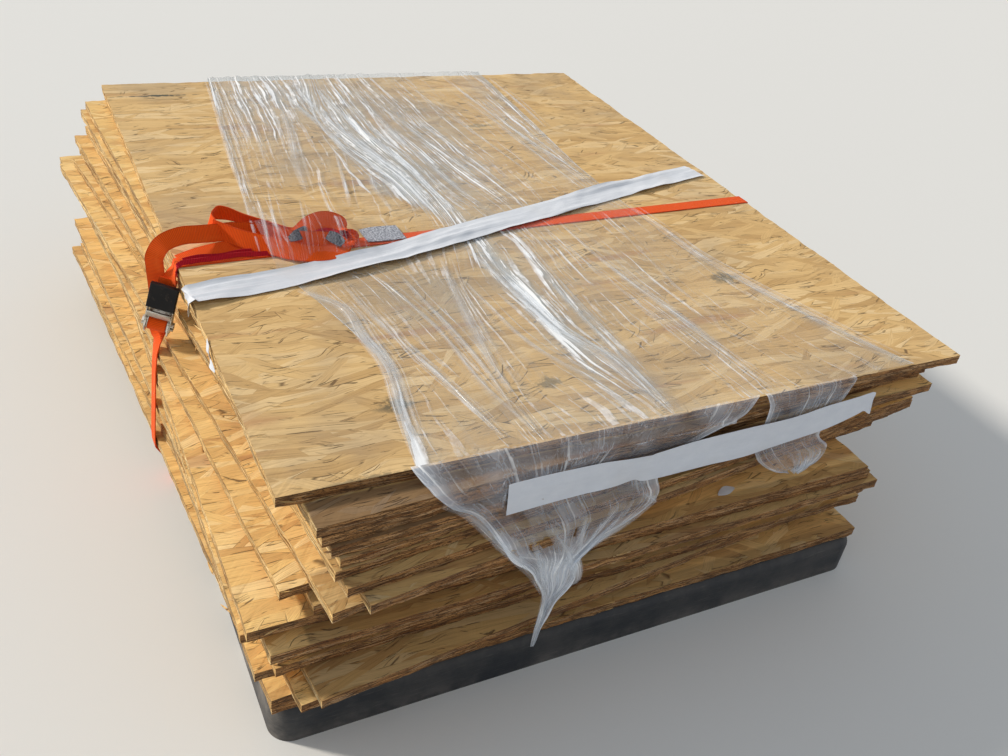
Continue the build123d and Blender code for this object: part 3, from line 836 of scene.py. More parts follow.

# %% [markdown]
# ## The loose end
# What is left of the strap comes up from the spool behind the buckle, arches over the edge and
# lies in a loose bunch on the top sheet: long folds, a hump over them and a few narrow edges.
# The narrow edges and the inner loop are in painted shade: a darker, redder copy of the webbing.
# Each is a band of its own on a few stations, read off the photograph, and the smooth line
# between them gives the soft bends that webbing has.

# %% The bunch of webbing
edge_width = 0.007
lean = (-100, 500, 860)
bunch = {
    "arch": [
        (-4896, -665, 2729, *turned), (-4852, -609, 3017, *turned), (-4850, -575, 3300, *turned),
        (-4870, -600, 3753, -900, 440, 0), (-4860, -620, 3900, -840, 500, 200),
        (-4740, -590, 4060, -500, 600, 620), (-4490, -530, 4120, -160, 550, 820),
        (-4210, -470, 4090, -80, 500, 860), (-3960, -400, 4050, *lean),
        (-3700, -330, 4020, *lean), (-3350, -370, 3985, *lean), (-3020, -480, 3960, *lean),
        (-2720, -580, 3930, -100, 800, 500)],
    "front_fold": [
        (-3990, -260, 4080, -400, 520, 750), (-3880, -390, 4055, -250, 520, 820),
        (-3660, -590, 4020, *lean), (-3304, -817, 3990, *lean),
        (-3066, -990, 3975, -50, 620, 780), (-2811, -1090, 3955, 0, 750, 660),
        (-2527, -1080, 3925, 100, 900, 420), (-2320, -1000, 3905, 200, 950, 200),
        (-2240, -880, 3935, 300, 800, 300), (-2420, -800, 3985, 100, 850, 500),
        (-2800, -780, 4010, *lean), (-3200, -560, 4010, *lean)],
    "back_fold": [
        (-3970, -270, 4050, -200, 600, 780), (-4000, -120, 4100, 300, 450, 840),
        (-3890, 60, 4130, 450, -100, 880), (-3720, 60, 4110, 200, -350, 900),
        (-3500, -40, 4060, 100, -600, 800), (-3200, -200, 4020, 100, -750, 660),
        (-2900, -380, 3990, 50, -850, 520), (-2600, -550, 3960, 0, -920, 380),
        (-2300, -660, 3930, 0, -970, 220)],
    "hump": [
        (-2980, -640, 3960, 300, 800, 500), (-2800, -600, 4040, 350, 700, 600),
        (-2640, -540, 4130, 300, 660, 660), (-2440, -520, 4175, 50, 660, 740),
        (-2240, -560, 4140, -250, 680, 660), (-2100, -640, 4050, -500, 700, 450),
        (-2040, -700, 3950, -550, 800, 200), (-2100, -740, 3885, -200, 950, 100),
        (-2400, -780, 3880, 0, 1000, 100)],
    "inner_loop": [
        (-2760, -500, 3930, 200, 900, 300), (-2560, -450, 4040, 200, 800, 500),
        (-2350, -460, 4050, 0, 800, 600), (-2160, -540, 3980, -300, 800, 400),
        (-2220, -600, 3900, -200, 900, 200), (-2600, -600, 3890, 0, 1000, 100)],
    "shaded_edge": [
        (-4630, -900, 3700, 0, 300, 1000), (-4625, -910, 3830, 300, 300, 900),
        (-4560, -890, 3890, 0, 500, 860), (-4300, -840, 3880, 0, 200, 1000),
        (-4050, -850, 3895, 0, 600, 800), (-3750, -800, 3885, 0, 200, 1000),
        (-3450, -850, 3890, 0, 500, 860), (-3200, -840, 3880, 0, 800, 600)],
    "shaded_fold": [
        (-4520, -800, 3880, 0, 600, 800), (-4300, -770, 3895, 0, 300, 1000),
        (-4000, -780, 3885, 0, 700, 700), (-3700, -730, 3890, 0, 300, 1000),
        (-3350, -740, 3880, 0, 800, 600)],
    "under_fold": [
        (-4560, -740, 3865, 0, 1000, 50), (-4200, -640, 3885, 0, 970, 250),
        (-3700, -560, 3895, -100, 930, 350), (-3200, -520, 3880, 0, 980, 150),
        (-2700, -560, 3870, 0, 1000, 0)]}
loose_end = []
loose_length = 0.0
# The narrow edges and the inner loop take the painted-shade copy of the webbing.
for part, run in bunch.items():
    narrow = part in ("shaded_edge", "shaded_fold")
    width = edge_width if narrow else web_width
    band, reach = lay_band(f"loose_end_{part}", stations_from(run, width), web_thickness,
                           spacing=0.005)
    paint(band, shaded_web if narrow or part == "inner_loop" else web)
    loose_end.append(band)
    loose_length += reach
print("loose end shown:", round(loose_length, 3), "m")

# %% [markdown]
# ## The label and the tags
# A woven label is sewn round the strap, and two more tags show in the bunch. They are plain
# grey cloth with coarse threads.

# %% Woven grey label
cloth_thickness = 0.0006


def woven_label(name, dark, light):
    finish = Finish(name)
    along, side = finish.strip_place()
    warp = math_node("SINE", along * (2 * pi / 0.0016))
    weft = math_node("SINE", side * (2 * pi / 0.0013))
    fleck = finish.noise((along * 420.0, side * 300.0))
    tone = 0.55 + warp * weft * 0.15 + (fleck - 0.5) * 4.0
    finish.surface(base_color=finish.mix(tone, dark, light), roughness=0.85)
    finish.bump(warp * weft + fleck, 0.5, 0.0004)
    return finish.material


label_cloth = woven_label("woven_label", (0.14, 0.15, 0.20), (0.66, 0.68, 0.75))
tag_cloth = woven_label("woven_tag", (0.03, 0.035, 0.045), (0.22, 0.23, 0.27))
label, _ = lay_band("label", stations_from([
    (-1810, -575, 3866, *across_strap, 400), (-1600, -567, 3874, *across_strap, 460),
    (-1350, -561, 3870, *across_strap, 460), (-1190, -558, 3866, *across_strap, 450)]),
    cloth_thickness, spacing=0.004)
first_tag, _ = lay_band("first_tag", stations_from([
    (-3010, -760, 4030, 500, 600, 600, 100), (-2900, -760, 4080, 500, 600, 600, 160),
    (-2760, -680, 4100, 300, 700, 600, 140), (-2690, -580, 4060, 100, 800, 500, 90)]),
    cloth_thickness, columns=4, spacing=0.003)
second_tag, _ = lay_band("second_tag", stations_from([
    (-2440, -780, 4060, 600, 500, 600, 140), (-2360, -870, 4040, 600, 500, 600, 180),
    (-2260, -960, 3980, 600, 500, 600, 120)]),
    cloth_thickness, columns=4, spacing=0.003)
paint(label, label_cloth)
paint(first_tag, tag_cloth)
paint(second_tag, tag_cloth)

# %% [markdown]
# ## White tape
# The tape is thin white plastic, stuck down by hand, so it creases: short folds across it,
# and a rim that stands off here and there. The crease function lifts each point of the band by
# a few seeded noises, always away from the board, so it never sinks into it.

# %% Tape finish
def white_tape():
    finish = Finish("white_tape")
    along, side = finish.strip_place()
    folds = finish.noise((along * 42.0, side * 60.0), 1.0, 4.0, 0.6)
    pleats = finish.noise((along * 9.0, side * 190.0), 1.0, 3.0, 0.6)
    fine = finish.noise((along * 340.0, side * 90.0))
    dirt = finish.noise((along * 9.0, side * 9.0), 1.0, 4.0).between(0.52, 0.8)
    # Greyer and bluer in the hollows of the folds: painted shade.
    colour = finish.mix(folds, (0.62, 0.66, 0.74), (0.77, 0.80, 0.86))
    colour = finish.mix(dirt * 0.25, colour, (0.55, 0.51, 0.46))
    finish.surface(base_color=colour, roughness=0.36 + fine * 0.2)
    finish.bump(folds * 0.2 + pleats * 0.7 + fine * 0.05, 0.3, 0.004)
    return finish.material


def ramp_between(value, low, high):
    """0 below low, 1 above high and a smooth rise between them."""
    share = min(1.0, max(0.0, (value - low) / (high - low)))
    return share * share * (3.0 - 2.0 * share)


def bumps(*spot):
    """Seeded noise between -1 and 1 at a place."""
    return noise.noise(Vector(spot))


def creased(amount, seed):
    """A crease function for lay_band with lifts of up to about amount."""
    def lift(length, side):
        wave = max(0.0, bumps(length * 8.0, side * 1.3, seed))
        fold = bumps(length * 34.0 + side * 2.0, side * 2.5, seed + 5.0)
        pleat = max(0.0, bumps(length * 5.0, side * 5.0, seed + 8.0))
        rim_lift = (abs(side) * 2.0) ** 2
        return amount * max(0.0, 0.12 * fold + 0.45 * pleat + (0.5 + 0.6 * rim_lift) * wave)
    return lift


# %% The two strips of tape, a scrap and a tatter
# The tape over the top: places in tenths of a millimetre. The tape along the front: places
# right and up from the top sheet's near left corner and widths in millimetres, and its tilt.
tape_width = 0.050
tape_thickness = 0.0003
front_slope = 0.0489
over_top = [
    (-4626, -1735, 3690), (-4624, -1730, 3825), (-4608, -1720, 3850), (-4100, -1655, 3854),
    (-3610, -1590, 3856), (-2610, -1420, 3858), (-1610, -1200, 3862), (-1160, -1070, 3880),
    (-40, -730, 3880), (900, -470, 3880), (1840, -210, 3878), (2390, -30, 3860),
    (3210, 200, 3856), (4300, 480, 3848), (5360, 750, 3848)]
along_front = [
    (257, -42, 46, -0.2), (266, -42, 48, -0.12), (324, -43, 46, 0.0), (400, -46, 43, 0.0),
    (441, -47, 37, -0.03), (470, -52, 46, 0.0), (560, -54, 48, 0.0), (636, -56, 48, 0.0),
    (700, -55, 46, 0.0), (760, -52, 44, 0.0), (810, -47, 36, 0.0), (836, -43, 31, 0.0),
    (848, -41, 28, -0.15), (856, -41, 22, -0.4)]
corner_low, corner_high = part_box("sheet_01")
corner = Vector((corner_low[0], corner_low[1], corner_high[2]))


def lay_tape(name, stations, columns, spacing, lift, seed):
    tape, reach = lay_band(name, stations, tape_thickness, columns, spacing,
                           crease=creased(lift, seed))
    paint(tape, tape_finish)
    return tape, reach


def front_y(x):
    """How far the front of the fourth sheet lies from the top sheet's front edge."""
    return -0.0440 + (x - 0.048) * front_slope


tape_finish = white_tape()
tape_top, tape_length = lay_tape("tape_top", [
    (place, (-0.05, -1.0, 0.0) if index < 3 else (0.2, -0.98, 0.0), tape_width)
    for index, place in enumerate(metres(over_top, 10000))],
    columns=14, spacing=0.004, lift=0.0095, seed=3.0)
tape_front, front_length = lay_tape("tape_front", [
    (corner + Vector((x / 1000, front_y(x / 1000) - 0.0034, z / 1000)),
     (tilt, front_slope * tilt, 1.0), width / 1000)
    for x, z, width, tilt in along_front],
    columns=12, spacing=0.004, lift=-0.0040, seed=9.0)
# The right end of the tape along the front hooks downwards.
hook_start = 0.838
hook_end = 0.858
for vertex in tape_front.data.vertices:
    past = ramp_between(vertex.co.x - corner.x, hook_start, hook_end)
    low = ramp_between(corner.z - 0.040 - vertex.co.z, 0.0, 0.012)
    vertex.co.z -= 0.017 * past * low
    vertex.co.x += (0.006 * low - 0.004) * past
tape_scrap, _ = lay_tape("tape_scrap", stations_from([
    (6240, 10, -1671, 100, 1000, 0, 20), (6330, 30, -1667, 100, 1000, 100, 110),
    (6430, 50, -1659, 100, 1000, 200, 130), (6560, 60, -1667, 100, 1000, 0, 30)],
    start=corner), columns=4, spacing=0.003, lift=0.002, seed=2.0)
tatter, _ = lay_tape("tape_tatter", stations_from([
    (-12, 3080, -10, 100, 300, 1000, 60), (-30, 2960, -50, 200, 400, 1000, 120),
    (-30, 2840, -100, -300, 400, 1000, 70), (-50, 2720, -130, 300, 200, 1000, 100),
    (-30, 2580, -160, 200, 500, 1000, 30)],
    start=corner), columns=4, spacing=0.003, lift=0.002, seed=7.0)
print("tapes:", round(tape_length, 3), "and", round(front_length, 3), "m")

# %% [markdown]
# ## Clear stretch film
# Stretch film is almost invisible where it lies flat. What shows are its wrinkles: pulled
# streaks, long sharp folds that catch the light, and crumpled ends. The film is a thin sheet
# that is mostly transparent, and a stretched noise in its own UV map makes the streaks whiter:
# partly the film's own whitening where it is pulled, partly painted highlights. Its haze is a
# bluish grey: a painted reflection of the sky, which over the top sheet also paints shade on
# the wood.
# The big folds are narrow bands with a raised middle, laid along the directions of pull.

# %% Film finish
def clear_film(name, haze, haze_and_sky_colour, spacing, pull, crumples):
    """Clear film: how hazy it is and the colour of its haze, which is a painted reflection of the
    sky, how far apart in metres its streaks are and how strong, and how strongly it is crumpled.

    The attribute cloudy, from 0 to 1, says how wrinkled each part of the sheet is, and on the
    top sheet also where glare is painted."""
    finish = Finish(name)
    side, along = finish.strip_place()
    cloudy = finish.attribute("cloudy")
    waver = finish.noise((side * 6.0, along * 2.6), 1.0, 3.0)
    pulled = finish.noise((side * (0.5 / spacing) + waver * 3.0, along * 2.4), 1.0, 3.0, 0.6)
    thread = finish.noise((side * (1.7 / spacing) + waver * 9.0, along * 4.2), 1.0, 4.0, 0.6)
    broken = finish.noise((side * 120.0, along * 38.0), 1.0, 3.0, 0.6)
    facet, _, _, to_rim = finish.cells(side * 75.0 + pulled * 5.0, along * 40.0 + thread * 1.5)
    creases = 1.0 - to_rim.between(0.0, 0.07)
    more = cloudy * 0.12 - 0.05
    streak = (thread + more + (broken - 0.5) * 0.12).between(0.55, 0.59)
    ribbon = (pulled + more).between(0.53, 0.65)
    shine = broken.between(0.48, 0.64)
    lines = (streak * (0.26 + ribbon * 0.42 + shine * 0.22) + ribbon * 0.14) * pull
    cover = cloudy * haze + ((lines + (facet * 0.5 + creases * 0.5) * crumples)
                             * (0.3 + cloudy * 0.7))
    # The streaks and creases are whiter: partly the film's own whitening, partly painted
    # highlights.
    bright = (lines + creases * crumples * 0.6).between(0.10, 0.50)
    finish.surface(base_color=finish.mix(bright, haze_and_sky_colour, (0.95, 0.97, 1.0)),
                   roughness=0.15 + ribbon * 0.1, ior=1.5,
                   alpha=cover.between(0.0, 1.0, "LINEAR"))
    finish.bump(pulled * 0.7 + thread * 0.3 + facet * crumples * 0.4, 0.8, 0.004)
    return finish.material


flat_film = clear_film("film", haze=0.40, haze_and_sky_colour=(0.50, 0.58, 0.63), spacing=0.009,
                       pull=1.15, crumples=0.14)
crumpled_film = clear_film("crumpled_film", haze=0.50, haze_and_sky_colour=(0.80, 0.88, 1.0),
                           spacing=0.006, pull=0.85, crumples=0.45)
fold_film = clear_film("film_fold", haze=0.50, haze_and_sky_colour=(0.84, 0.90, 0.97),
                       spacing=0.004, pull=0.9, crumples=0.25)


# %% A sheet of film along lines of pull
def apart(first, second):
    return (Vector(first) - Vector(second)).length


def film_along(name, lines, crinkle, cloud, material, columns, spacing):
    """A sheet whose columns follow the given lines, which all have as many points. crinkle
    moves each point and cloud tells how cloudy the film is there."""
    last = len(lines[0]) - 1
    gaps = [0.0]
    for first, second in zip(lines, lines[1:]):
        gaps.append(gaps[-1] + sum(map(apart, first, second)) / (last + 1))
    middle = [[sum(line[index][part] for line in lines) / len(lines) for part in range(3)]
              for index in range(last + 1)]
    steps = [max(1, ceil(apart(a, b) / spacing)) for a, b in zip(middle, middle[1:])]
    spots = [index + step / count for index, count in enumerate(steps) for step in range(count)]
    spots.append(float(last))
    laid = []
    for spot in spots:
        index = min(int(spot), last - 1)
        knots = [smooth_step(*map(Vector, four_near(line, index)), spot - index)
                 for line in lines]
        row = []
        for column in range(columns + 1):
            wanted = gaps[-1] * column / columns
            index = max(k for k in range(len(gaps) - 1) if gaps[k] <= wanted + 1e-9)
            share = (wanted - gaps[index]) / (gaps[index + 1] - gaps[index])
            row.append(knots[index].lerp(knots[index + 1], share))
        laid.append(row)
    lengths = [0.0]
    for before, row in zip(laid, laid[1:]):
        lengths.append(lengths[-1] + apart(row[columns // 2], before[columns // 2]))
    obj = flat_grid(name, columns, len(laid) - 1)
    weave = {}
    cloudy = []
    for vertex in obj.data.vertices:
        side = vertex.co.x + 0.5
        index = round((vertex.co.y + 0.5) * (len(laid) - 1))
        place = laid[index][round(side * columns)]
        vertex.co = corner + place + crinkle(side, lengths[index], place)
        weave[vertex.index] = (side * gaps[-1], lengths[index])
        cloudy.append(cloud(side, place))
    give_weave(obj, weave)
    give_numbers(obj, "cloudy", cloudy)
    pick(obj)
    bpy.ops.object.shade_smooth()
    paint(obj, material)
    return obj


def area_of(obj):
    return sum(face.area for face in obj.data.polygons)


# %% The lines of pull over the top sheet
# How far each line lies from the left edge, at eight distances from the front edge, all in
# millimetres.
film_level = 0.0014
pull_rows = (1214, 950, 700, 500, 350, 200, 80, 2)
pull_lines = [
    (199, 168, 139, 122, 160, 190, 170, 156),
    (224, 212, 190, 185, 216, 238, 262, 277),
    (290, 280, 243, 246, 270, 294, 306, 314),
    (350, 338, 300, 285, 297, 309, 314, 319),
    (397, 352, 395, 395, 354, 330, 324, 325),
    (425, 400, 430, 425, 385, 395, 440, 457),
    (450, 430, 450, 447, 433, 455, 485, 498),
    (485, 473, 492, 516, 505, 503, 505, 506),
    (505, 515, 552, 575, 566, 580, 592, 600),
    (600, 606, 613, 617, 627, 645, 657, 668),
    (665, 684, 696, 706, 700, 698, 722, 747),
    (715, 723, 745, 766, 774, 790, 815, 842),
    (800, 786, 770, 776, 790, 838, 885, 922)]
top_lines = [
    [(line[0] / 1000 + 0.004, 1.2245, -0.050), (line[0] / 1000 + 0.002, 1.2235, -0.004)]
    + [(x / 1000, y / 1000, film_level) for x, y in zip(line, pull_rows)]
    for line in pull_lines]
# Where the film is wrinkled most, and a band of painted glare: middle and reach in millimetres,
# and how much.
cloud_and_glare_patches = [
    (310, 1130, 160, 150, 0.7), (410, 780, 60, 260, 0.95), (520, 820, 55, 320, 0.5),
    (735, 850, 30, 350, 0.45), (250, 900, 60, 160, 0.25), (450, 300, 28, 260, 0.9),
    (506, 250, 16, 260, 0.55), (345, 300, 30, 140, 0.3), (340, 15, 190, 60, 0.28),
    (640, 200, 25, 300, 0.3), (270, 280, 80, 140, 0.16), (590, 850, 45, 300, 0.28),
    (560, 330, 30, 180, 0.25)]


def hill(x, y, middle_x, middle_y, reach_x, reach_y):
    """1 in the middle of a round hill, falling to 0 around it."""
    return exp(-((x - middle_x) / reach_x) ** 2 - ((y - middle_y) / reach_y) ** 2)


def from_tape(x, y):
    """How far a place is behind the middle of the tape over the top."""
    return y - (0.4105 + 0.150 * x + 0.13 * x * x if x < 0.5 else 0.518 + 0.283 * (x - 0.5))


half_tape = 0.024
bunch_height = 0.042
strap_height = 0.0015


def film_rise(x, y):
    """Height of the film over what lies on the top sheet: the bunch and the strap."""
    hump = bunch_height * hill(x, y, 0.20, 0.53, 0.115, 0.095)
    free = ramp_between(from_tape(x, y), half_tape, 0.040)
    strap_line = 0.515 + 0.0227 * (x - 0.461)
    over_strap = 1.0 - ramp_between(abs(y - strap_line), 0.012, 0.022)
    return max(hump * free, strap_height * over_strap)


def top_crinkle(side, length, place):
    """Long low waves, flat under the tape, over the bunch of webbing and the strap where
    they lie, and never under the sheet."""
    wave = bumps(side * 17.0, length * 1.6, 1.0)
    fold = abs(bumps(side * 42.0, length * 2.4, 4.0))
    rim_share = min(1.0, 30.0 * side, 30.0 * (1.0 - side))
    settle = 0.35 if place.y < 0.02 or place.z < film_level - 0.001 else 1.0
    lift = (0.0045 * max(0.0, wave) + 0.005 * fold) * rim_share * settle
    free = ramp_between(abs(from_tape(place.x, place.y)), half_tape, 0.055)
    return Vector((0.0, 0.0, lift * free + film_rise(place.x, place.y)))


def top_cloud(side, place):
    cloud = 0.19 + 0.38 * exp(-(side / 0.022) ** 2) + 0.50 * exp(-((1.0 - side) / 0.025) ** 2)
    for *patch, much in cloud_and_glare_patches:
        cloud += much * hill(place.x, place.y, *(value / 1000 for value in patch))
    on_strap = ramp_between(film_rise(place.x, place.y), 0.0006, 0.0014)
    return min(1.0, cloud * (1.0 - 0.55 * on_strap))


film_top = film_along("film_top", top_lines, top_crinkle, top_cloud, flat_film,
                      columns=180, spacing=0.008)
print("film over the top:", len(film_top.data.polygons), "faces,",
      round(area_of(film_top), 3), "m2")

# %% The film that hangs over the front
# Points in tenths of a millimetre from the top sheet's near left corner, from high to low.
hang_left = [
    (1510, 30, 14), (1510, -40, 15), (1600, -220, -80), (1780, -390, -220), (2050, -383, -420),
    (2260, -374, -640), (2460, -520, -920), (2620, -535, -1180), (2920, -545, -1480),
    (3050, -550, -1720), (3180, -550, -1980), (3210, -545, -2220), (3200, -535, -2500),
    (3210, -520, -3020)]
hang_right = [
    (6400, 30, 14), (6320, -40, 15), (6000, -180, -100), (5480, -212, -260), (4920, -238, -440),
    (4780, -246, -640), (4840, -285, -980), (4620, -300, -1180), (4200, -350, -1370),
    (3800, -430, -1540), (3660, -475, -1900), (3420, -510, -2150), (3300, -515, -2500),
    (3250, -520, -3020)]
pouch_left = [
    (6480, 30, 14), (6480, -40, 15), (6480, -140, -140), (6460, -150, -500), (6460, -165, -840),
    (6550, -250, -980), (6800, -300, -1120), (7020, -280, -1190)]
pouch_right = [
    (8060, 30, 14), (8060, -40, 15), (7980, -70, -140), (7800, -85, -500), (7660, -105, -840),
    (7730, -230, -940), (7520, -300, -1090), (7240, -280, -1190)]


def hang_crinkle(side, length, place):
    """Sharp crumples that stand off the sheets, flat under the tape and low at the edge."""
    wave = abs(bumps(side * 9.0, length * 9.0, 2.0))
    sharp = abs(bumps(side * 24.0, length * 22.0, 6.0))
    under_tape = place.x > 0.250 and -0.084 < place.z < -0.012
    size = 0.2 if place.z > -0.01 else 0.0 if under_tape else 1.0
    taper = min(1.0, (place.z + 0.32) / 0.08)
    return Vector((0.0, -size * taper * (0.013 * wave + 0.006 * sharp), 0.0))


def hang_cloud(side, place):
    """Whiter towards the twisted tail and along both rims."""
    tail = ramp_between(-place.z, 0.07, 0.20)
    rims = exp(-(side / 0.05) ** 2) + exp(-((1.0 - side) / 0.05) ** 2)
    patch = 0.35 * bumps(place.x * 22.0, place.z * 22.0, 3.0)
    return min(1.0, max(0.08, 0.26 + 0.65 * tail + 0.4 * rims + patch))


film_hang, film_bulge = [
    film_along(name, [metres(left, 10000), metres(right, 10000)], hang_crinkle, hang_cloud,
               crumpled_film, columns, spacing=0.004)
    for name, left, right, columns in (("film_hang", hang_left, hang_right, 90),
                                       ("film_bulge", pouch_left, pouch_right, 40))]
print("hanging film:", round(area_of(film_hang), 3), "and", round(area_of(film_bulge), 3), "m2")

# %% [markdown]
# ## The folds and ropes of the film
# Where stretch film is pulled it gathers into long sharp folds, and where it hangs it twists
# into ropes. Each is a narrow band with a raised ridge, clear at both ends, that follows a line
# of points read off the photograph. All the folds on the top sheet are joined into one piece,
# and all the ropes of the hanging film into another.

# %% The lines of the folds
# Each fold: its width in millimetres, how white it is, and its points in millimetres from the
# top sheet's near left corner, as x and y from far to near on the top sheet, and as x and z
# from high to low on the hanging film.
fold_rows = [
    (7, 0.9, 194, 1214, 182, 1095, 155, 845, 136, 654),
    (5, 0.6, 205, 1210, 196, 1050, 172, 845, 152, 670), (10, 0.8, 218, 1100, 214, 990, 207, 910),
    (4, 1.0, 142, 723, 134, 652, 117, 550, 110, 480),
    (5, 1.0, 159, 692, 139, 577, 127, 498, 127, 464),
    (4, 0.8, 183, 708, 152, 560, 142, 491, 142, 464),
    (5, 1.0, 273, 732, 248, 602, 234, 510, 236, 482), (4, 0.7, 218, 650, 185, 510, 180, 470),
    (4, 0.5, 228, 1190, 226, 980, 205, 800, 193, 690),
    (14, 0.75, 300, 1050, 286, 950, 258, 800, 240, 680),
    (6, 1.0, 345, 870, 318, 736, 294, 639, 280, 590), (9, 0.8, 375, 760, 360, 690, 352, 590),
    (12, 1.0, 330, 1205, 338, 1060, 352, 955, 362, 814, 392, 724, 402, 590),
    (16, 1.0, 360, 1205, 372, 1000, 395, 850, 416, 720, 424, 575),
    (13, 0.9, 400, 1200, 410, 1000, 425, 880, 446, 745, 451, 575),
    (6, 0.8, 438, 1150, 441, 950, 462, 760, 474, 600),
    (9, 0.9, 478, 1211, 474, 911, 489, 751, 505, 600),
    (8, 0.9, 489, 1140, 518, 900, 546, 729, 566, 600),
    (5, 0.6, 520, 1200, 545, 950, 575, 760, 596, 600),
    (5, 0.5, 600, 1205, 622, 980, 650, 780, 662, 640),
    (7, 1.0, 700, 1205, 716, 1003, 732, 843, 750, 729, 755, 625),
    (5, 0.6, 690, 1100, 704, 950, 716, 800, 722, 660), (8, 0.7, 808, 1194, 807, 1035, 800, 900),
    (13, 1.0, 140, 392, 183, 336, 187, 260, 192, 188, 176, 107, 162, 18),
    (5, 0.7, 152, 385, 196, 330, 200, 260, 203, 180, 190, 100, 176, 18),
    (8, 0.9, 205, 405, 214, 321, 231, 233, 248, 159, 265, 69, 275, 16),
    (6, 0.9, 253, 414, 266, 372, 288, 257, 294, 131, 308, 55, 314, 14),
    (7, 1.0, 291, 420, 298, 328, 308, 246, 312, 148, 309, 68),
    (12, 0.8, 370, 430, 354, 351, 340, 272, 325, 152, 322, 94),
    (7, 0.7, 378, 370, 388, 226, 412, 145, 442, 83, 455, 10),
    (17, 1.0, 424, 450, 436, 332, 443, 230, 463, 173, 483, 118, 492, 12),
    (6, 1.0, 444, 455, 452, 340, 460, 240, 478, 170, 494, 110, 500, 12),
    (7, 1.0, 512, 475, 505, 346, 504, 196, 505, 103, 506, 8),
    (4, 0.6, 530, 478, 522, 346, 518, 196, 516, 103),
    (8, 0.8, 614, 505, 621, 385, 634, 268, 645, 196, 655, 112, 666, 8),
    (4, 0.5, 580, 495, 592, 360, 606, 220, 615, 100),
    (6, 0.4, 709, 520, 700, 357, 695, 276, 698, 199, 690, 152, 717, 100),
    (15, 0.75, 772, 550, 785, 451, 791, 367, 808, 296, 825, 237, 850, 170, 876, 97, 896, 45,
     909, 6)]
rope_rows = [
    (11, 0.9, 170, -20, 205, -42, 246, -90, 292, -147, 318, -196),
    (15, 1.0, 312, -88, 330, -112, 348, -142, 360, -180), (8, 0.8, 455, -88, 470, -98, 478, -108),
    (12, 1.0, 478, -104, 440, -124, 395, -142, 364, -160),
    (10, 0.8, 236, -85, 262, -108, 318, -142, 355, -170),
    (7, 1.0, 318, -180, 322, -215, 322, -262, 323, -298),
    (12, 1.0, 342, -150, 364, -166, 366, -188, 356, -196),
    (9, 0.7, 292, -104, 308, -150, 320, -190), (9, 0.7, 368, -88, 364, -112, 362, -146),
    (9, 0.7, 413, -88, 400, -112, 376, -140), (8, 0.6, 284, -88, 300, -120, 312, -160),
    (6, 0.6, 440, -88, 428, -106, 414, -128)]


def folds_from(rows):
    """The points, the width and the whiteness of each fold, in metres."""
    return [([(x / 1000, y / 1000) for x, y in zip(spots[::2], spots[1::2])], width / 1000,
             white) for width, white, *spots in rows]


folds, ropes = folds_from(fold_rows), folds_from(rope_rows)
# Beside each fold on the top sheet runs a thinner and fainter one.
folds += [([(x + 0.011 + 0.005 * sin(7.0 * index), y) for x, y in points], width * 0.4,
           white * 0.65) for index, (points, width, white) in enumerate(folds)]


# %% One fold
def on_hang(x, z):
    """The hanging film's point nearest to x and z, a little in front of it."""
    wanted = corner + Vector((x, 0.0, z))
    near = min(film_hang.data.vertices,
               key=lambda vertex: (vertex.co.x - wanted.x) ** 2 + (vertex.co.z - wanted.z) ** 2)
    return Vector((wanted.x, near.co.y - 0.0012, wanted.z))


def tent(height, seed):
    """A fold's cross-section: a sharp ridge whose height changes along it."""
    def lift(length, side):
        change = 0.55 + 0.45 * bumps(length * 9.0, seed, 0.0)
        return height * change * max(0.0, 1.0 - abs(side * 2.0)) + 0.0006
    return lift


def long_fold(name, points, width, white, seed, hanging):
    """One raised fold along a line of pull, narrow and clear at both ends."""
    last = len(points) - 1
    stations = []
    for index, (x, y) in enumerate(points):
        share = sin(pi * (0.08 + 0.84 * index / last)) ** 0.6
        if hanging:
            before, after = points[max(index - 1, 0)], points[min(index + 1, last)]
            place = on_hang(x, y)
            across = (after[1] - before[1], 0.0, before[0] - after[0])
        else:
            sway = 0.003 * bumps(seed, index * 1.7, 0.0)
            place = corner + Vector((x + sway, y, film_level + film_rise(x, y)))
            across = (-1.0, 0.0, 0.0)
        stations.append((place, across, width * share * 1.5))
    obj, reach = lay_band(name, stations, thickness=0.0, spacing=0.006,
                          crease=tent(width * 0.40, seed))
    weave = {loop.vertex_index: tuple(obj.data.uv_layers[0].data[loop.index].uv)
             for loop in obj.data.loops}
    cloudy = []
    for vertex in obj.data.vertices:
        along, side = weave[vertex.index]
        weave[vertex.index] = (side + seed * 0.37, along)
        ends = sin(pi * min(1.0, max(0.0, along / reach))) ** 0.5
        ridge = max(0.0, 1.0 - abs(side) / (width * 0.75)) ** 0.7
        patch = 0.7 + 0.6 * bumps(along * 14.0, seed * 3.0, 2.0)
        cloudy.append(min(1.0, white * ends * ridge * patch))
    give_weave(obj, weave)
    give_numbers(obj, "cloudy", cloudy)
    paint(obj, fold_film)
    return obj


# %% All the folds
def joined_folds(name, lines, hanging):
    """All the folds of the list as one piece."""
    piece = joined([long_fold(f"{name}_{index}", points, width, white, index, hanging)
                    for index, (points, width, white) in enumerate(lines)], name)
    print(name, "joins", len(lines), "folds with", len(piece.data.polygons), "faces")
    return piece


film_folds = joined_folds("film_folds", folds, False)
hang_folds = joined_folds("hang_folds", ropes, True)

# %% [markdown]
# ## Floor, light and background
# One warm, low sun from the left and behind throws the soft shadow to the right, and a bluish
# sky fills the shadows. Where the camera sees the sky itself, directly, in a reflection or
# through the film, it is plain white, so the background stays clean.

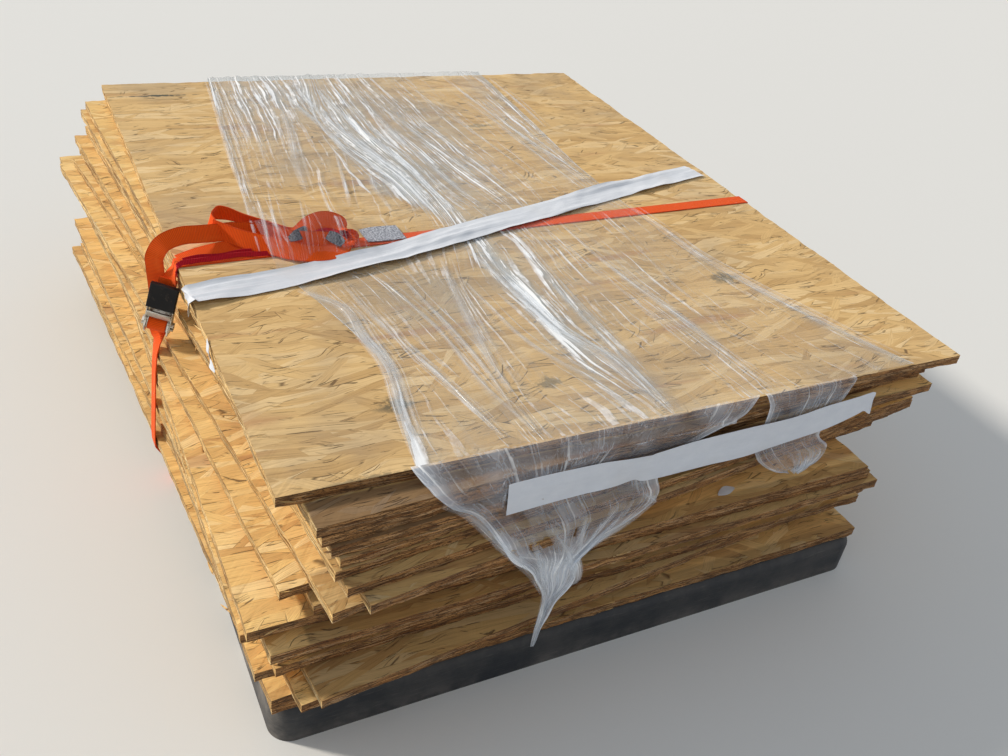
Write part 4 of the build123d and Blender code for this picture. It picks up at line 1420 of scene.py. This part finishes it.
# %% Floor, sky and sun
bpy.ops.object.select_all(action="DESELECT")
bpy.ops.mesh.primitive_plane_add(size=40.0, location=(0.0, 0.0, 0.0))
floor = bpy.context.object
floor.name = "floor"
bpy.ops.object.transform_apply(location=True)
floor_finish = Finish("floor")
floor_finish.surface(base_color=(0.80, 0.80, 0.79, 1.0), roughness=0.9)
paint(floor, floor_finish.material)

world = bpy.data.worlds.new("studio")
bpy.context.scene.world = world
world.use_nodes = True
tree = world.node_tree
tree.nodes.clear()


def background(colour, strength):
    node = tree.nodes.new("ShaderNodeBackground")
    node.inputs["Color"].default_value = (*colour, 1.0)
    node.inputs["Strength"].default_value = strength
    return node.outputs[0]


path = tree.nodes.new("ShaderNodeLightPath")
seen = largest(*(Amount(path.outputs[f"Is {kind} Ray"])
                 for kind in ("Camera", "Glossy", "Transmission")))
blend = tree.nodes.new("ShaderNodeMixShader")
tree.links.new(seen.socket, blend.inputs[0])
tree.links.new(background((0.90, 0.95, 1.0), 0.46), blend.inputs[1])
tree.links.new(background((1.0, 1.0, 1.0), 1.0), blend.inputs[2])
end = tree.nodes.new("ShaderNodeOutputWorld")
tree.links.new(blend.outputs[0], end.inputs[0])

key_data = bpy.data.lights.new("key", "SUN")
key_data.energy = 3.2
key_data.angle = radians(6.0)
key_data.color = (1.0, 0.93, 0.82)
key = bpy.data.objects.new("key", key_data)
bpy.context.collection.objects.link(key)
key_from = Vector((-0.66, 0.50, 0.46))
key.rotation_euler = key_from.to_track_quat("Z", "Y").to_euler()
bpy.context.scene.view_settings.view_transform = "Standard"
print("sun:", round(key_data.energy, 1), "W/m2")

# %% [markdown]
# ## Join the pieces to the frame
# Each new piece hides the CAD nodes it replaces and rides on a body. Only the ratchet's handle
# moves, and its CAD pieces are kept, so all the new pieces ride on the stack.

# %% Replace and ride
def belongs(obj, slot, *replaced):
    """obj rides on the stack and stands for the named nodes, which it hides. slot is not used."""
    if replaced:
        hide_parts(*replaced)
    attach(obj, "stack")


belongs(strap, "webbing", "strap_webbing")
belongs(strap_roll, "webbing")
belongs(strap_eye, "webbing")
belongs(loose_end[0], "webbing", "strap_loose_end")
for band in loose_end[1:]:
    belongs(band, "webbing")
belongs(label, "label", "strap_label")
belongs(first_tag, "label")
belongs(second_tag, "label")
belongs(tape_top, "tape", "tape_over_top")
belongs(tape_front, "tape", "tape_on_front")
belongs(tape_scrap, "tape", "tape_scrap")
belongs(tatter, "tape")
belongs(film_top, "film", "film_over_top")
belongs(film_hang, "film", "film_hanging")
belongs(film_bulge, "film", "film_pouch")
belongs(film_folds, "film")
belongs(hang_folds, "film")
